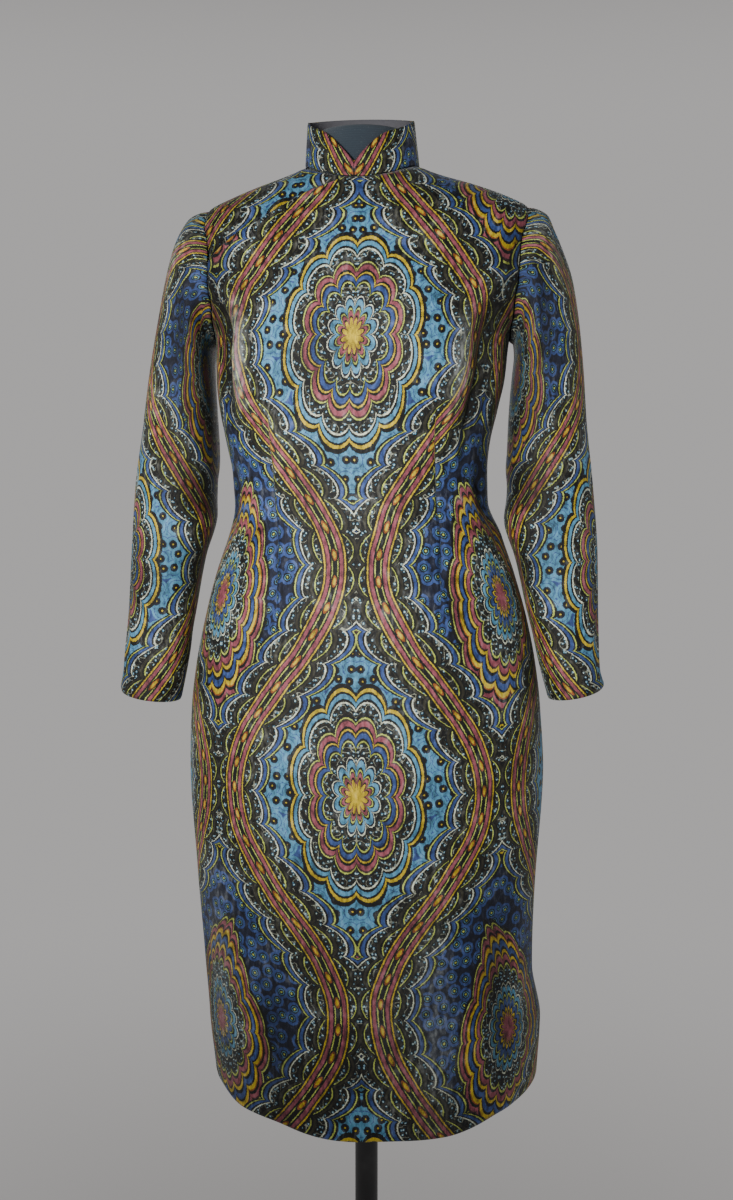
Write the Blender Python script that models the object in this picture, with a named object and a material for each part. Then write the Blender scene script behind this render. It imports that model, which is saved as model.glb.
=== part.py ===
"""Cheongsam dress on a limbless dress form.

Metres, +Z up. The dress faces -Y and the wearer's right side is at -X.
The origin is on the floor, under the centre of the stand's base plate.

The dress is read from one body surface, by angle round the body (degrees, 0 at the centre front,
90 at the wearer's left side, 180 at the centre back) and by level (metres). Each cut piece is a
closed wall of cloth laid on that surface or, for a sleeve and the collar, grown from its edge.
"""

import math

import bmesh
import bpy
from mathutils import Vector

# Cloth and seams
WALL = 0.0015
COLLAR_WALL = 0.0020
SEAM_GAP = 0.0003
COLLAR_SEAM_GAP = 0.0005
LAP_GAP = 0.0018
WELD = 1e-6
TINY_LEVEL = 1e-6
SHARP_DEGREES = 40.0

# Levels where the cut changes
HEM_LEVEL = 0.460
SLIT_TOP = 0.580
UNDERARM_LEVEL = 1.243
SHOULDER_LEVEL = 1.376
NECK_LEVEL = 1.416

# The body surface: one section a row. The rises are the heights of centre front and back over the sides.
SECTION_COLUMNS = (
    "level", "half_width", "sway", "front", "back", "squareness", "front_rise", "back_rise",
)
BODY_SECTIONS = (
    (0.460, 0.1690, 0.0050, 0.1350, 0.1220, 2.25, -0.013, -0.009),
    (0.530, 0.1755, 0.0050, 0.1345, 0.1250, 2.25, -0.006, -0.004),
    (0.600, 0.1770, 0.0020, 0.1340, 0.1280, 2.25, 0.000, 0.000),
    (0.690, 0.1815, 0.0000, 0.1325, 0.1310, 2.25, 0.000, 0.000),
    (0.800, 0.1876, 0.0000, 0.1300, 0.1330, 2.25, 0.000, 0.000),
    (0.865, 0.1845, -0.0010, 0.1265, 0.1300, 2.20, 0.000, 0.000),
    (0.910, 0.1790, -0.0010, 0.1230, 0.1240, 2.15, 0.000, 0.000),
    (0.955, 0.1700, -0.0010, 0.1185, 0.1150, 2.10, 0.000, 0.000),
    (1.006, 0.1560, -0.0015, 0.1110, 0.1030, 2.10, 0.000, 0.000),
    (1.045, 0.1425, -0.0015, 0.1035, 0.0930, 2.10, 0.000, 0.000),
    (1.080, 0.1320, -0.0055, 0.0990, 0.0860, 2.10, 0.000, 0.000),
    (1.110, 0.1325, -0.0070, 0.0990, 0.0850, 2.10, 0.000, 0.000),
    (1.143, 0.1370, -0.0088, 0.1040, 0.0890, 2.15, 0.000, 0.000),
    (1.175, 0.1435, -0.0080, 0.1110, 0.0950, 2.20, 0.000, 0.000),
    (1.205, 0.1480, -0.0060, 0.1165, 0.0990, 2.25, 0.000, 0.000),
    (1.243, 0.1500, -0.0040, 0.1185, 0.1020, 2.20, 0.000, 0.000),
    (1.270, 0.1640, -0.0020, 0.1160, 0.1040, 2.05, -0.001, 0.000),
    (1.300, 0.1800, -0.0010, 0.1090, 0.1040, 2.00, -0.005, 0.000),
    (1.325, 0.1850, 0.0000, 0.1010, 0.1010, 2.00, -0.010, 0.001),
    (1.350, 0.1815, 0.0000, 0.0925, 0.0940, 2.00, -0.016, 0.002),
    (1.376, 0.1610, 0.0015, 0.0850, 0.0840, 2.00, -0.023, 0.004),
    (1.386, 0.1410, 0.0015, 0.0800, 0.0770, 2.00, -0.023, 0.006),
    (1.397, 0.1120, 0.0000, 0.0745, 0.0680, 2.00, -0.022, 0.008),
    (1.409, 0.0745, -0.0035, 0.0680, 0.0560, 2.00, -0.021, 0.009),
    (1.416, 0.0580, -0.0040, 0.0630, 0.0450, 2.00, -0.020, 0.014),
)

RISE_POWER = 2.0

# Steps over which a surface's slope is measured: along angle or turn, then along level, ring or share
PLAIN_STEPS = (0.5, 0.002)
CLOTH_STEPS = (0.8, 0.003)
SLEEVE_STEPS = (2.0, 0.05)
COLLAR_STEPS = (1.0, 0.05)

# Bust shaping, from the darts
BUST_LEVEL = 1.230
BUST_HALF_DISTANCE = 0.072
BUST_PROJECTION = 0.0085
BUST_HALF_HEIGHT = 0.048
BUST_HALF_WIDTH = 0.040

# Soft folds that hang along the body: a ridge has a positive depth, a trough a negative one.
FOLD_COLUMNS = ("angle", "half_angle", "low", "high", "depth", "lean")
BODY_FOLDS = (
    (-47, 5.0, 1.150, 1.305, 0.0040, 10),
    (-58, 5.0, 1.130, 1.295, -0.0045, 12),
    (52, 5.5, 1.090, 1.320, -0.0050, -8),
    (41, 5.0, 1.130, 1.300, 0.0025, -8),
    (-70, 6.0, 1.020, 1.170, -0.0025, 30),
    (68, 6.0, 1.010, 1.180, -0.0030, -30),
    (-52, 8.0, 0.400, 0.760, 0.0025, 0),
    (-30, 7.0, 0.380, 0.700, -0.0025, 0),
    (24, 8.0, 0.390, 0.730, 0.0022, 0),
    (48, 7.0, 0.400, 0.780, -0.0028, 0),
    (128, 6.0, 1.120, 1.330, -0.0050, 8),
    (141, 6.0, 1.140, 1.320, 0.0030, 8),
    (-126, 6.0, 1.110, 1.320, -0.0045, -8),
    (-140, 6.0, 1.150, 1.330, 0.0030, -8),
    (112, 7.0, 1.010, 1.160, -0.0030, 30),
    (-113, 7.0, 1.020, 1.170, -0.0025, -30),
    (150, 9.0, 0.390, 0.760, 0.0030, 0),
    (-160, 8.0, 0.400, 0.720, -0.0028, 0),
    (-132, 9.0, 0.380, 0.780, 0.0030, 0),
)

# Fish-eye darts, front and back
DART_COLUMNS = ("low", "high", "half_distance", "depth")
FRONT_DART = (0.965, 1.150, 0.0785, 0.0016)
BACK_DART = (0.930, 1.200, 0.0700, 0.0016)
DART_HALF_COLUMN = 0.025
DART_SHARE_LIMIT = 0.62

# The hem hangs a little higher towards the wearer's right side.
HEM_LIFT_RIGHT = 0.0090

# The side slits
SLIT_HALF_WIDTH_AT_HEM = 0.0030
FRONT_FLARE = {"left": 0.0120, "right": 0.0, "degrees": 30.0}
BACK_FLARE = {"left": 0.0100, "right": 0.0040, "degrees": 40.0}
FLARE_RUN = 0.055

# The armholes are ovals, cut round the body surface's sides.
ARMHOLE_STEPS = 16
ARMHOLE_SEARCH = {"side": 90.0, "front": 20.0, "back": 160.0, "halvings": 40}
ARMHOLE_FRONT_REACH = 0.058
ARMHOLE_BACK_REACH = 0.061

# The flap's edge, from the right armhole to the neck, and the edge of the lap under it
EDGE_COLUMNS = ("level", "angle")
FLAP_EDGE = (
    (1.3095, -60.5),
    (1.3350, -50.0),
    (1.3500, -43.5),
    (1.3660, -38.0),
    (1.3790, -34.5),
    (1.3970, -31.0),
    (1.4090, -22.0),
    (1.4160, -12.0),
)
UNDERLAP_EDGE = (
    (1.2810, -49.0),
    (1.3095, -41.0),
    (1.3350, -33.0),
    (1.3500, -29.0),
    (1.3660, -25.0),
    (1.3790, -22.0),
    (1.3970, -16.0),
    (1.4090, -8.0),
    (1.4160, 0.0),
)
UNDERLAP_DIP_DEGREES = 5.5
FLAP_EDGE_MARGIN_DEGREES = 5.5

# Rows and columns of the cloth walls
SKIRT_ROWS = (
    0.460, 0.490, 0.520, 0.550, 0.580, 0.625, 0.675, 0.725, 0.770, 0.810, 0.850, 0.885,
    0.915, 0.945, 0.975, 1.000, 1.025, 1.050, 1.075, 1.100, 1.125, 1.150, 1.175, 1.200, 1.222,
)
SHOULDER_ROWS = (1.386, 1.397, 1.409, 1.416)
FRONT_COLUMNS = (0.0, 0.13, 0.26, 0.37, 0.46, 0.50, 0.54, 0.64, 0.76, 0.88, 1.0)
BACK_COLUMNS = (0.0, 0.15, 0.30, 0.45, 0.50, 0.55, 0.70, 0.85, 1.0)
UNDERLAP_COLUMNS = (0.0, 0.2, 0.4, 0.6, 0.78, 0.9, 1.0, 1.35, 1.7, 2.0)
DART_COLUMN = 0.50
EVEN_COLUMNS_FROM = 1.243
EVEN_COLUMNS_BY = 1.360

# Sleeves: the outer and inner edge of each ring, and its middle and half depth front to back
SLEEVE_COLUMNS = ("outer_x", "outer_z", "inner_x", "inner_z", "middle_y", "half_depth")
RIGHT_SLEEVE = (
    (0.1815, 1.3655, 0.1585, 1.2390, 0.000, 0.0605),
    (0.1915, 1.3510, 0.1600, 1.2280, 0.000, 0.0605),
    (0.1985, 1.3330, 0.1600, 1.2120, 0.000, 0.0590),
    (0.2065, 1.3060, 0.1590, 1.1900, 0.001, 0.0570),
    (0.2155, 1.2680, 0.1575, 1.1640, 0.003, 0.0540),
    (0.2255, 1.2200, 0.1560, 1.1320, 0.005, 0.0520),
    (0.2345, 1.1600, 0.1555, 1.1000, 0.005, 0.0500),
    (0.2440, 1.0950, 0.1595, 1.0650, 0.003, 0.0480),
    (0.2485, 1.0250, 0.1690, 1.0200, -0.002, 0.0455),
    (0.2510, 0.9650, 0.1800, 0.9650, -0.010, 0.0420),
    (0.2550, 0.9150, 0.1870, 0.9150, -0.018, 0.0380),
    (0.2560, 0.8820, 0.1945, 0.8725, -0.026, 0.0350),
)
LEFT_SLEEVE = (
    (0.1830, 1.3655, 0.1510, 1.2390, 0.000, 0.0605),
    (0.1905, 1.3510, 0.1515, 1.2280, 0.000, 0.0605),
    (0.1985, 1.3330, 0.1500, 1.2120, 0.000, 0.0590),
    (0.2085, 1.3060, 0.1480, 1.1900, 0.001, 0.0570),
    (0.2160, 1.2680, 0.1465, 1.1640, 0.003, 0.0540),
    (0.2220, 1.2200, 0.1455, 1.1320, 0.005, 0.0520),
    (0.2270, 1.1600, 0.1430, 1.1000, 0.005, 0.0500),
    (0.2345, 1.0950, 0.1440, 1.0650, 0.003, 0.0480),
    (0.2400, 1.0250, 0.1535, 1.0200, -0.002, 0.0455),
    (0.2410, 0.9650, 0.1680, 0.9650, -0.010, 0.0420),
    (0.2425, 0.9150, 0.1800, 0.9150, -0.018, 0.0380),
    (0.2450, 0.8910, 0.1895, 0.8790, -0.026, 0.0350),
)
SLEEVE_RINGS = (0, 0.5, 1, 1.6, 2.3, 3, 3.8, 4.6, 5.4, 6.2, 7, 7.7, 8.4, 9, 9.6, 10.3, 11, 11.5, 12)
HEAD_FADE_RINGS = 3.0

# Creases across a sleeve: ring and turn of the middle, half sizes, depth
CREASE_COLUMNS = ("ring", "turn", "half_rings", "half_turn", "depth")
SLEEVE_CREASES = (
    (2.6, 130, 1.6, 16, 0.0030),
    (3.6, 98, 1.8, 15, -0.0030),
    (7.4, 20, 0.7, 60, -0.0030),
    (8.3, 30, 0.6, 55, 0.0022),
    (9.1, 15, 0.6, 50, -0.0025),
    (4.0, 262, 1.8, 16, -0.0030),
)

# Stand collar
COLLAR_OPENING_ANGLE = -4.0
COLLAR_OPENING_GAP = 0.0006
COLLAR_TOP = {"half_width": 0.0540, "sway": -0.0055, "front": 0.0520, "back": 0.0455}
COLLAR_TOP_HEIGHTS = {"side": 1.4625, "front": 1.4385, "back": 1.4760}
COLLAR_RISE_POWER = 1.15
COLLAR_END_HEIGHT = 0.0150
COLLAR_CORNER_LENGTH = 0.046
COLLAR_CORNER_POWER = 1.9
COLLAR_HALF_COLUMNS = 13
COLLAR_COLUMN_POWER = 1.5
COLLAR_ROWS = 4

# Dress form: how far its skin lies inside the cloth, and how far its shoulder ends reach
FORM_COLUMNS = ("level", "clearance", "half_width_limit")
FORM_SECTIONS = (
    (0.700, 0.0300, 0.200),
    (0.712, 0.0130, 0.200),
    (0.740, 0.0070, 0.200),
    (0.800, 0.0050, 0.200),
    (0.900, 0.0050, 0.200),
    (1.000, 0.0060, 0.200),
    (1.080, 0.0090, 0.200),
    (1.150, 0.0080, 0.200),
    (1.225, 0.0080, 0.148),
    (1.270, 0.0080, 0.1430),
    (1.310, 0.0065, 0.1430),
    (1.345, 0.0030, 0.1460),
    (1.366, 0.0014, 0.1500),
    (1.376, 0.0010, 0.1480),
    (1.386, 0.0008, 0.1420),
    (1.397, 0.0008, 0.1170),
    (1.409, 0.0010, 0.0800),
    (1.416, 0.0040, 0.0580),
)
FORM_ROWS = (
    0.700, 0.712, 0.740, 0.775, 0.810, 0.845, 0.880, 0.915, 0.945, 0.975, 1.005, 1.035, 1.065,
    1.095, 1.125, 1.155, 1.185, 1.215, 1.245, 1.275, 1.305, 1.330, 1.350, 1.366, 1.376, 1.384,
    1.391, 1.398, 1.4045, 1.411, 1.416,
)
FORM_CENTRE_CLEARANCE = 0.0055
FORM_SIDES = 32
FORM_NECK_TOP = 1.449
FORM_NECK = {"half_width": 0.0475, "sway": -0.0045, "front": 0.0475, "back": 0.0370}
FORM_NECK_ROWS = 3

# Stand
POST_RADIUS = 0.0125
POST_SIDES = 24
BASE_RADIUS = 0.170
BASE_THICKNESS = 0.010
BASE_BEVEL = 0.003
BASE_SIDES = 48

# Colour, metallic, roughness
FINISHES = {
    "velvet_front": ((0.060, 0.150, 0.330), 0.0, 0.80),
    "velvet_back": ((0.050, 0.125, 0.290), 0.0, 0.80),
    "velvet_sleeve": ((0.075, 0.170, 0.340), 0.0, 0.80),
    "velvet_collar": ((0.120, 0.130, 0.250), 0.0, 0.80),
    "form_cloth": ((0.030, 0.034, 0.042), 0.0, 0.75),
    "painted_steel": ((0.012, 0.012, 0.014), 0.0, 0.45),
}


def smooth_curve(knots, values):
    """A cubic through the values that doesn't overshoot them, level past both ends."""
    steps = [b - a for a, b in zip(knots, knots[1:])]
    slopes = [(b - a) / step for a, b, step in zip(values, values[1:], steps)]
    tangents = [slopes[0]]
    for before, after in zip(slopes, slopes[1:]):
        together = before * after
        tangents.append(2 * together / (before + after) if together > 0 else 0.0)
    tangents.append(slopes[-1])

    def read(place):
        place = min(max(place, knots[0]), knots[-1])
        span = 0
        while span < len(steps) - 1 and place > knots[span + 1]:
            span += 1
        step = steps[span]
        t = (place - knots[span]) / step
        rise = t * t * (3 - 2 * t)
        ends = values[span] * (1 - rise) + values[span + 1] * rise
        bends = tangents[span] * t * (1 - t) ** 2 - tangents[span + 1] * t * t * (1 - t)
        return ends + bends * step

    return read


def table_curves(columns, rows):
    """One smooth curve for each column after the first, read by the first."""
    knots = [row[0] for row in rows]
    return {
        name: smooth_curve(knots, [row[place] for row in rows])
        for place, name in enumerate(columns)
        if place > 0
    }


def ramp(value, start, end):
    """0 before start, 1 past end, smooth between."""
    t = min(max((value - start) / (end - start), 0.0), 1.0)
    return t * t * (3 - 2 * t)


def bell(distance, half_size):
    return math.exp(-((distance / half_size) ** 2))


def window(value, low, high):
    """A smooth hump from low to high, 1 in the middle."""
    t = (2 * value - low - high) / (high - low)
    return (1 - t * t) ** 2 if abs(t) < 1 else 0.0


SECTIONS = table_curves(SECTION_COLUMNS, BODY_SECTIONS)
FLAP_CURVE = table_curves(EDGE_COLUMNS, FLAP_EDGE)["angle"]
UNDERLAP_CURVE = table_curves(EDGE_COLUMNS, UNDERLAP_EDGE)["angle"]


def section_at(level):
    return {name: curve(level) for name, curve in SECTIONS.items()}


def on_section(angle, level, section):
    """The point of a rounded section at an angle; its height swings from the sides to front and back."""
    across = math.sin(math.radians(angle))
    along = math.cos(math.radians(angle))
    power = section["squareness"]
    reach = (abs(across) ** power + abs(along) ** power) ** (-1 / power)
    depth = section["front"] if along > 0 else section["back"]
    rise = section["front_rise"] if along > 0 else section["back_rise"]
    x = section["sway"] + section["half_width"] * reach * across
    height = level + rise * abs(along) ** section.get("rise_power", RISE_POWER)
    return Vector((x, -depth * reach * along, height))


def add_bust(point):
    """The two rounds that the darts shape."""
    for side in (-1, 1):
        across = bell(point.x - side * BUST_HALF_DISTANCE, BUST_HALF_WIDTH)
        point.y -= BUST_PROJECTION * across * bell(point.z - BUST_LEVEL, BUST_HALF_HEIGHT)
    return point


def plain_point(angle, level, section=None):
    """The body surface without folds."""
    point = on_section(angle, level, section or section_at(level))
    to_the_right = ramp(-math.sin(math.radians(angle)), 0, 1)
    point.z += HEM_LIFT_RIGHT * to_the_right * ramp(SLIT_TOP - level, 0, SLIT_TOP - HEM_LEVEL)
    return add_bust(point) if abs(angle) < 90 else point


def outward(surface, first, second, steps, low, high):
    """The unit normal of a surface read by two coordinates; the second stays between low and high."""
    first_step, second_step = steps
    along_first = surface(first + first_step, second) - surface(first - first_step, second)
    above = min(second + second_step, high)
    below = max(second - second_step, low)
    along_second = surface(first, above) - surface(first, below)
    return along_first.cross(along_second).normalized()


def plain_normal(angle, level):
    return outward(plain_point, angle, level, PLAIN_STEPS, HEM_LEVEL, NECK_LEVEL)


def fold_height(angle, level):
    """How far the soft folds stand out of the body surface."""
    height = 0.0
    for row in BODY_FOLDS:
        fold = dict(zip(FOLD_COLUMNS, row))
        middle = fold["angle"] + fold["lean"] * (level - (fold["low"] + fold["high"]) / 2)
        run = window(level, fold["low"], fold["high"])
        height += fold["depth"] * run * bell(angle - middle, fold["half_angle"])
    return height


def slit_flare(angle, level, flare):
    """Below the slits' tops a panel's side edges stand out a little."""
    below = SLIT_TOP - level
    opened = (ramp(below, 0, FLARE_RUN) + max(0.0, below) / (SLIT_TOP - HEM_LEVEL)) / 2
    beside = 1 - ramp(abs(abs(angle) - 90), 0, flare["degrees"])
    reach = flare["left"] if angle > 0 else -flare["right"]
    return Vector((reach * opened * beside, 0, 0))


def cloth_point(angle, level):
    """The outside of the dress."""
    point = plain_point(angle, level)
    return point + plain_normal(angle, level) * fold_height(angle, level)


def cloth_normal(angle, level):
    return outward(cloth_point, angle, level, CLOTH_STEPS, HEM_LEVEL, NECK_LEVEL)


def armhole_row(step):
    middle = (SHOULDER_LEVEL + UNDERARM_LEVEL) / 2
    half = (SHOULDER_LEVEL - UNDERARM_LEVEL) / 2
    return middle - half * math.cos(2 * math.pi * step / ARMHOLE_STEPS)


ARMHOLE_ROWS = tuple(armhole_row(step) for step in range(ARMHOLE_STEPS // 2 + 1))
CLOTH_ROWS = SKIRT_ROWS + ARMHOLE_ROWS + SHOULDER_ROWS


def armhole_angle(level, facing_front):
    """Where the armhole's oval cuts a level, as degrees from centre front, for the wearer's left."""
    middle = (SHOULDER_LEVEL + UNDERARM_LEVEL) / 2
    half = (SHOULDER_LEVEL - UNDERARM_LEVEL) / 2
    share = math.sqrt(max(0.0, 1 - ((level - middle) / half) ** 2))
    reach = (ARMHOLE_FRONT_REACH if facing_front else ARMHOLE_BACK_REACH) * share
    section = section_at(level)
    near = ARMHOLE_SEARCH["side"]
    far = ARMHOLE_SEARCH["front" if facing_front else "back"]
    for _ in range(ARMHOLE_SEARCH["halvings"]):
        middle_angle = (near + far) / 2
        if abs(on_section(middle_angle, level, section).y) < reach:
            near = middle_angle
        else:
            far = middle_angle
    return (near + far) / 2


def armhole_place(turn):
    """Angle and level at a turn round the armhole: 0 under the arm, 90 in front, 180 on the shoulder."""
    level = armhole_row(turn / 360 * ARMHOLE_STEPS)
    return armhole_angle(level, turn < 180), level


def side_edge(level, facing_front):
    """Where a front or back panel ends, as degrees from centre front, for the wearer's left."""
    depth = SECTIONS["front" if facing_front else "back"](level)
    if UNDERARM_LEVEL < level < SHOULDER_LEVEL:
        return armhole_angle(level, facing_front)
    opened = max(0.0, (SLIT_TOP - level) / (SLIT_TOP - HEM_LEVEL))
    away = SEAM_GAP / 2 + SLIT_HALF_WIDTH_AT_HEM * opened
    return 90 + (-1 if facing_front else 1) * math.degrees(away / depth)


def dart_depth(column, level, dart_row):
    """The pinched line of a fish-eye dart, for a column from 0 at the centre to 1 at the side."""
    dart = dict(zip(DART_COLUMNS, dart_row))
    on_line = bell(abs(column) - DART_COLUMN, DART_HALF_COLUMN)
    return dart["depth"] * on_line * window(level, dart["low"], dart["high"])


def column_angle(column, level, edge, dart_row):
    """A column's angle from the panel's centre: the dart's column keeps its distance from it."""
    half_distance = dict(zip(DART_COLUMNS, dart_row))["half_distance"]
    share = min(half_distance / SECTIONS["half_width"](level), DART_SHARE_LIMIT)
    dart_angle = math.degrees(math.asin(share))
    dart_angle += (edge * DART_COLUMN - dart_angle) * ramp(level, BUST_LEVEL, SHOULDER_LEVEL)
    size = abs(column)
    if size <= DART_COLUMN:
        angle = dart_angle * size / DART_COLUMN
    else:
        angle = dart_angle + (edge - dart_angle) * (size - DART_COLUMN) / (1 - DART_COLUMN)
    return math.copysign(angle, column)


def front_place(column, level):
    """Angle on the front panel. On the right its edge is the side seam, the armhole, then the flap's edge."""
    edge = side_edge(level, True)
    angle = column_angle(column, level, edge, FRONT_DART)
    if level < FLAP_EDGE[0][0] - TINY_LEVEL:
        return angle
    start = FLAP_CURVE(level)
    if level < FLAP_EDGE[0][0] + TINY_LEVEL:
        start = -edge
    evenly = start + (edge - start) * (column + 1) / 2
    held = angle if column > 0 else angle * start / -edge
    return held + (evenly - held) * ramp(level, EVEN_COLUMNS_FROM, EVEN_COLUMNS_BY)


def front_point(column, level, layer):
    angle = front_place(column, level)
    inset = WALL * layer + dart_depth(column, level, FRONT_DART)
    point = cloth_point(angle, level) - cloth_normal(angle, level) * inset
    return point + slit_flare(angle, level, FRONT_FLARE)


def back_point(column, level, layer):
    """A column of 1 is at the wearer's right, so that the panel faces out."""
    angle = column_angle(column, level, 180 - side_edge(level, False), BACK_DART)
    angle = math.copysign(180 - abs(angle), -column if column else 1)
    inset = WALL * layer + dart_depth(column, level, BACK_DART)
    point = cloth_point(angle, level) - cloth_normal(angle, level) * inset
    return point + slit_flare(angle, level, BACK_FLARE)


def underlap_point(column, level, layer):
    """The small right front: columns 0 to 1 show beside the flap, 1 to 2 lie under it."""
    edge = -side_edge(level, True)
    last = UNDERLAP_CURVE(level)
    below_flap_edge = level < FLAP_EDGE[0][0] + TINY_LEVEL
    sunk_from = FLAP_CURVE(level) - FLAP_EDGE_MARGIN_DEGREES
    if column <= 1:
        beside_flap = edge + (sunk_from - edge) * column
    else:
        beside_flap = sunk_from + (last - sunk_from) * (column - 1)
    evenly = edge + (last - edge) * column / 2
    angle = evenly + (beside_flap - evenly) * ramp(level, FLAP_EDGE[0][0], EVEN_COLUMNS_BY)
    dip = 1.0 if below_flap_edge else ramp(angle, sunk_from - UNDERLAP_DIP_DEGREES, sunk_from)
    inset = WALL * layer + (WALL + LAP_GAP) * dip
    return cloth_point(angle, level) - cloth_normal(angle, level) * inset


def sleeve_surface(rows, side):
    """The outside of a sleeve, read by turn round it and by ring from the armhole down."""
    def armhole_point(turn):
        angle, level = armhole_place(turn % 360)
        point = cloth_point(side * angle, level)
        point.x += side * SEAM_GAP
        return point

    under = armhole_point(0)
    over = armhole_point(180)
    reach = (ARMHOLE_FRONT_REACH + ARMHOLE_BACK_REACH) / 2
    first = (abs(over.x), over.z, abs(under.x), under.z, (over.y + under.y) / 2, reach)
    rings = range(len(rows) + 1)
    table = ((ring, *row) for ring, row in zip(rings, (first, *rows)))
    curves = table_curves(("ring", *SLEEVE_COLUMNS), tuple(table))

    def plain_ring(turn, ring):
        size = {name: curve(ring) for name, curve in curves.items()}
        outer = Vector((side * size["outer_x"], 0, size["outer_z"]))
        inner = Vector((side * size["inner_x"], 0, size["inner_z"]))
        up = -math.cos(math.radians(turn))
        forward = math.sin(math.radians(turn))
        point = (outer + inner) / 2 + (outer - inner) / 2 * up
        point.y = size["middle_y"] - size["half_depth"] * forward
        return point

    def surface(turn, ring):
        point = plain_ring(turn, ring)
        if ring < HEAD_FADE_RINGS:
            head = armhole_point(turn) - plain_ring(turn, 0)
            point += head * (1 - ramp(ring, 0, HEAD_FADE_RINGS))
        return point

    return surface


def crease_height(turn, ring):
    height = 0.0
    for row in SLEEVE_CREASES:
        crease = dict(zip(CREASE_COLUMNS, row))
        away = (turn - crease["turn"] + 180) % 360 - 180
        here = bell(ring - crease["ring"], crease["half_rings"])
        height += crease["depth"] * here * bell(away, crease["half_turn"])
    return height * ramp(ring, 0, 1)


def sleeve_point(surface, side, turn, ring, layer):
    """At the armhole the wall's thickness lies across the seam; further on it lies along the normal."""
    normal = outward(surface, turn, ring, SLEEVE_STEPS, 0, len(LEFT_SLEEVE)) * -side
    point = surface(turn, ring) + normal * crease_height(turn, ring)
    if ring == 0:
        before = surface(turn - SLEEVE_STEPS[0], 0)
        after = surface(turn + SLEEVE_STEPS[0], 0)
        along = after - before
        along.x = 0
        return point + along.cross(Vector((1, 0, 0))).normalized() * WALL * layer
    return point - normal * WALL * layer


def collar_top_section():
    return {
        **COLLAR_TOP,
        "squareness": 2.0,
        "front_rise": COLLAR_TOP_HEIGHTS["front"] - COLLAR_TOP_HEIGHTS["side"],
        "back_rise": COLLAR_TOP_HEIGHTS["back"] - COLLAR_TOP_HEIGHTS["side"],
        "rise_power": COLLAR_RISE_POWER,
    }


def collar_point(column, share, layer):
    """The stand collar's band, from its right front end (-1) round the back (0) to the left end (1)."""
    opening = math.degrees(COLLAR_OPENING_GAP / 2 / SECTIONS["front"](NECK_LEVEL))
    turn = opening + (180 - opening) * (1 - abs(column)) ** COLLAR_COLUMN_POWER
    angle = COLLAR_OPENING_ANGLE + math.copysign(turn, column)

    def band(place, height_share):
        place = (place + 180) % 360 - 180
        base = on_section(place, NECK_LEVEL, section_at(NECK_LEVEL)) + Vector((0, 0, COLLAR_SEAM_GAP))
        top = on_section(place, COLLAR_TOP_HEIGHTS["side"], collar_top_section())
        return base.lerp(top, height_share)

    base = band(angle, 0)
    full_height = (band(angle, 1) - base).length
    away = math.radians(turn) * SECTIONS["front"](NECK_LEVEL)
    corner = max(0.0, 1 - away / COLLAR_CORNER_LENGTH) ** COLLAR_CORNER_POWER
    height = full_height - (full_height - COLLAR_END_HEIGHT) * corner
    normal = outward(band, angle, share * height / full_height, COLLAR_STEPS, 0, 1)
    return band(angle, share * height / full_height) - normal * COLLAR_WALL * layer


FORM_CURVES = table_curves(FORM_COLUMNS, FORM_SECTIONS)


def form_point(angle, level):
    """The form's skin, inside the cloth."""
    section = section_at(level)
    section["half_width"] = min(section["half_width"], FORM_CURVES["half_width_limit"](level) + WALL)

    def ring(place, height):
        local = section_at(height)
        local["half_width"] = min(local["half_width"], FORM_CURVES["half_width_limit"](height) + WALL)
        return plain_point(place, height, local)

    normal = outward(ring, angle, level, PLAIN_STEPS, HEM_LEVEL, NECK_LEVEL)
    centre = math.cos(math.radians(angle)) ** 2
    inset = WALL + FORM_CURVES["clearance"](level) + FORM_CENTRE_CLEARANCE * centre
    return plain_point(angle, level, section) - normal * inset


def neck_point(angle, share):
    """The form's neck, from the top of its shoulders to its flat top."""
    root = form_point(angle, NECK_LEVEL)
    section = {**FORM_NECK, "squareness": 2.0, "front_rise": 0.0, "back_rise": 0.0}
    top = on_section(angle, FORM_NECK_TOP, section)
    return root.lerp(top, share)


def finish_object(name, bm, finish):
    """Turn a bmesh into a named object with its own material, faces outwards."""
    bmesh.ops.recalc_face_normals(bm, faces=bm.faces)
    mesh = bpy.data.meshes.new(name)
    bm.to_mesh(mesh)
    bm.free()
    mesh.shade_smooth()
    mesh.set_sharp_from_angle(angle=math.radians(SHARP_DEGREES))
    colour, metallic, roughness = FINISHES[finish]
    material = bpy.data.materials.new(name)
    material.use_nodes = True
    shader = material.node_tree.nodes["Principled BSDF"]
    shader.inputs["Base Color"].default_value = (*colour, 1)
    shader.inputs["Metallic"].default_value = metallic
    shader.inputs["Roughness"].default_value = roughness
    mesh.materials.append(material)
    piece = bpy.data.objects.new(name, mesh)
    bpy.context.scene.collection.objects.link(piece)
    return piece


def cloth_wall(name, columns, rows, shape, finish, closed=False):
    """A flat slab of two layers, one cell for each column and row, moved onto its surface.

    A closed wall's first and last column meet, so their side faces are left out and they are welded.
    """
    bm = bmesh.new()
    bmesh.ops.create_grid(bm, x_segments=len(columns) - 1, y_segments=len(rows) - 1, size=1)
    copied = bmesh.ops.extrude_face_region(bm, geom=bm.faces[:], use_keep_orig=True)["geom"]
    lifted = [item for item in copied if isinstance(item, bmesh.types.BMVert)]
    bmesh.ops.translate(bm, verts=lifted, vec=(0, 0, 1))
    if closed:
        sides = [face for face in bm.faces if all(abs(v.co.x) > 1 - WELD for v in face.verts)]
        bmesh.ops.delete(bm, geom=sides, context="FACES")
    for vert in bm.verts:
        column = columns[round((vert.co.x + 1) / 2 * (len(columns) - 1))]
        row = rows[round((vert.co.y + 1) / 2 * (len(rows) - 1))]
        vert.co = shape(column, row, vert.co.z)
    if closed:
        bmesh.ops.remove_doubles(bm, verts=bm.verts, dist=WELD)
    return finish_object(name, bm, finish)


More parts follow.
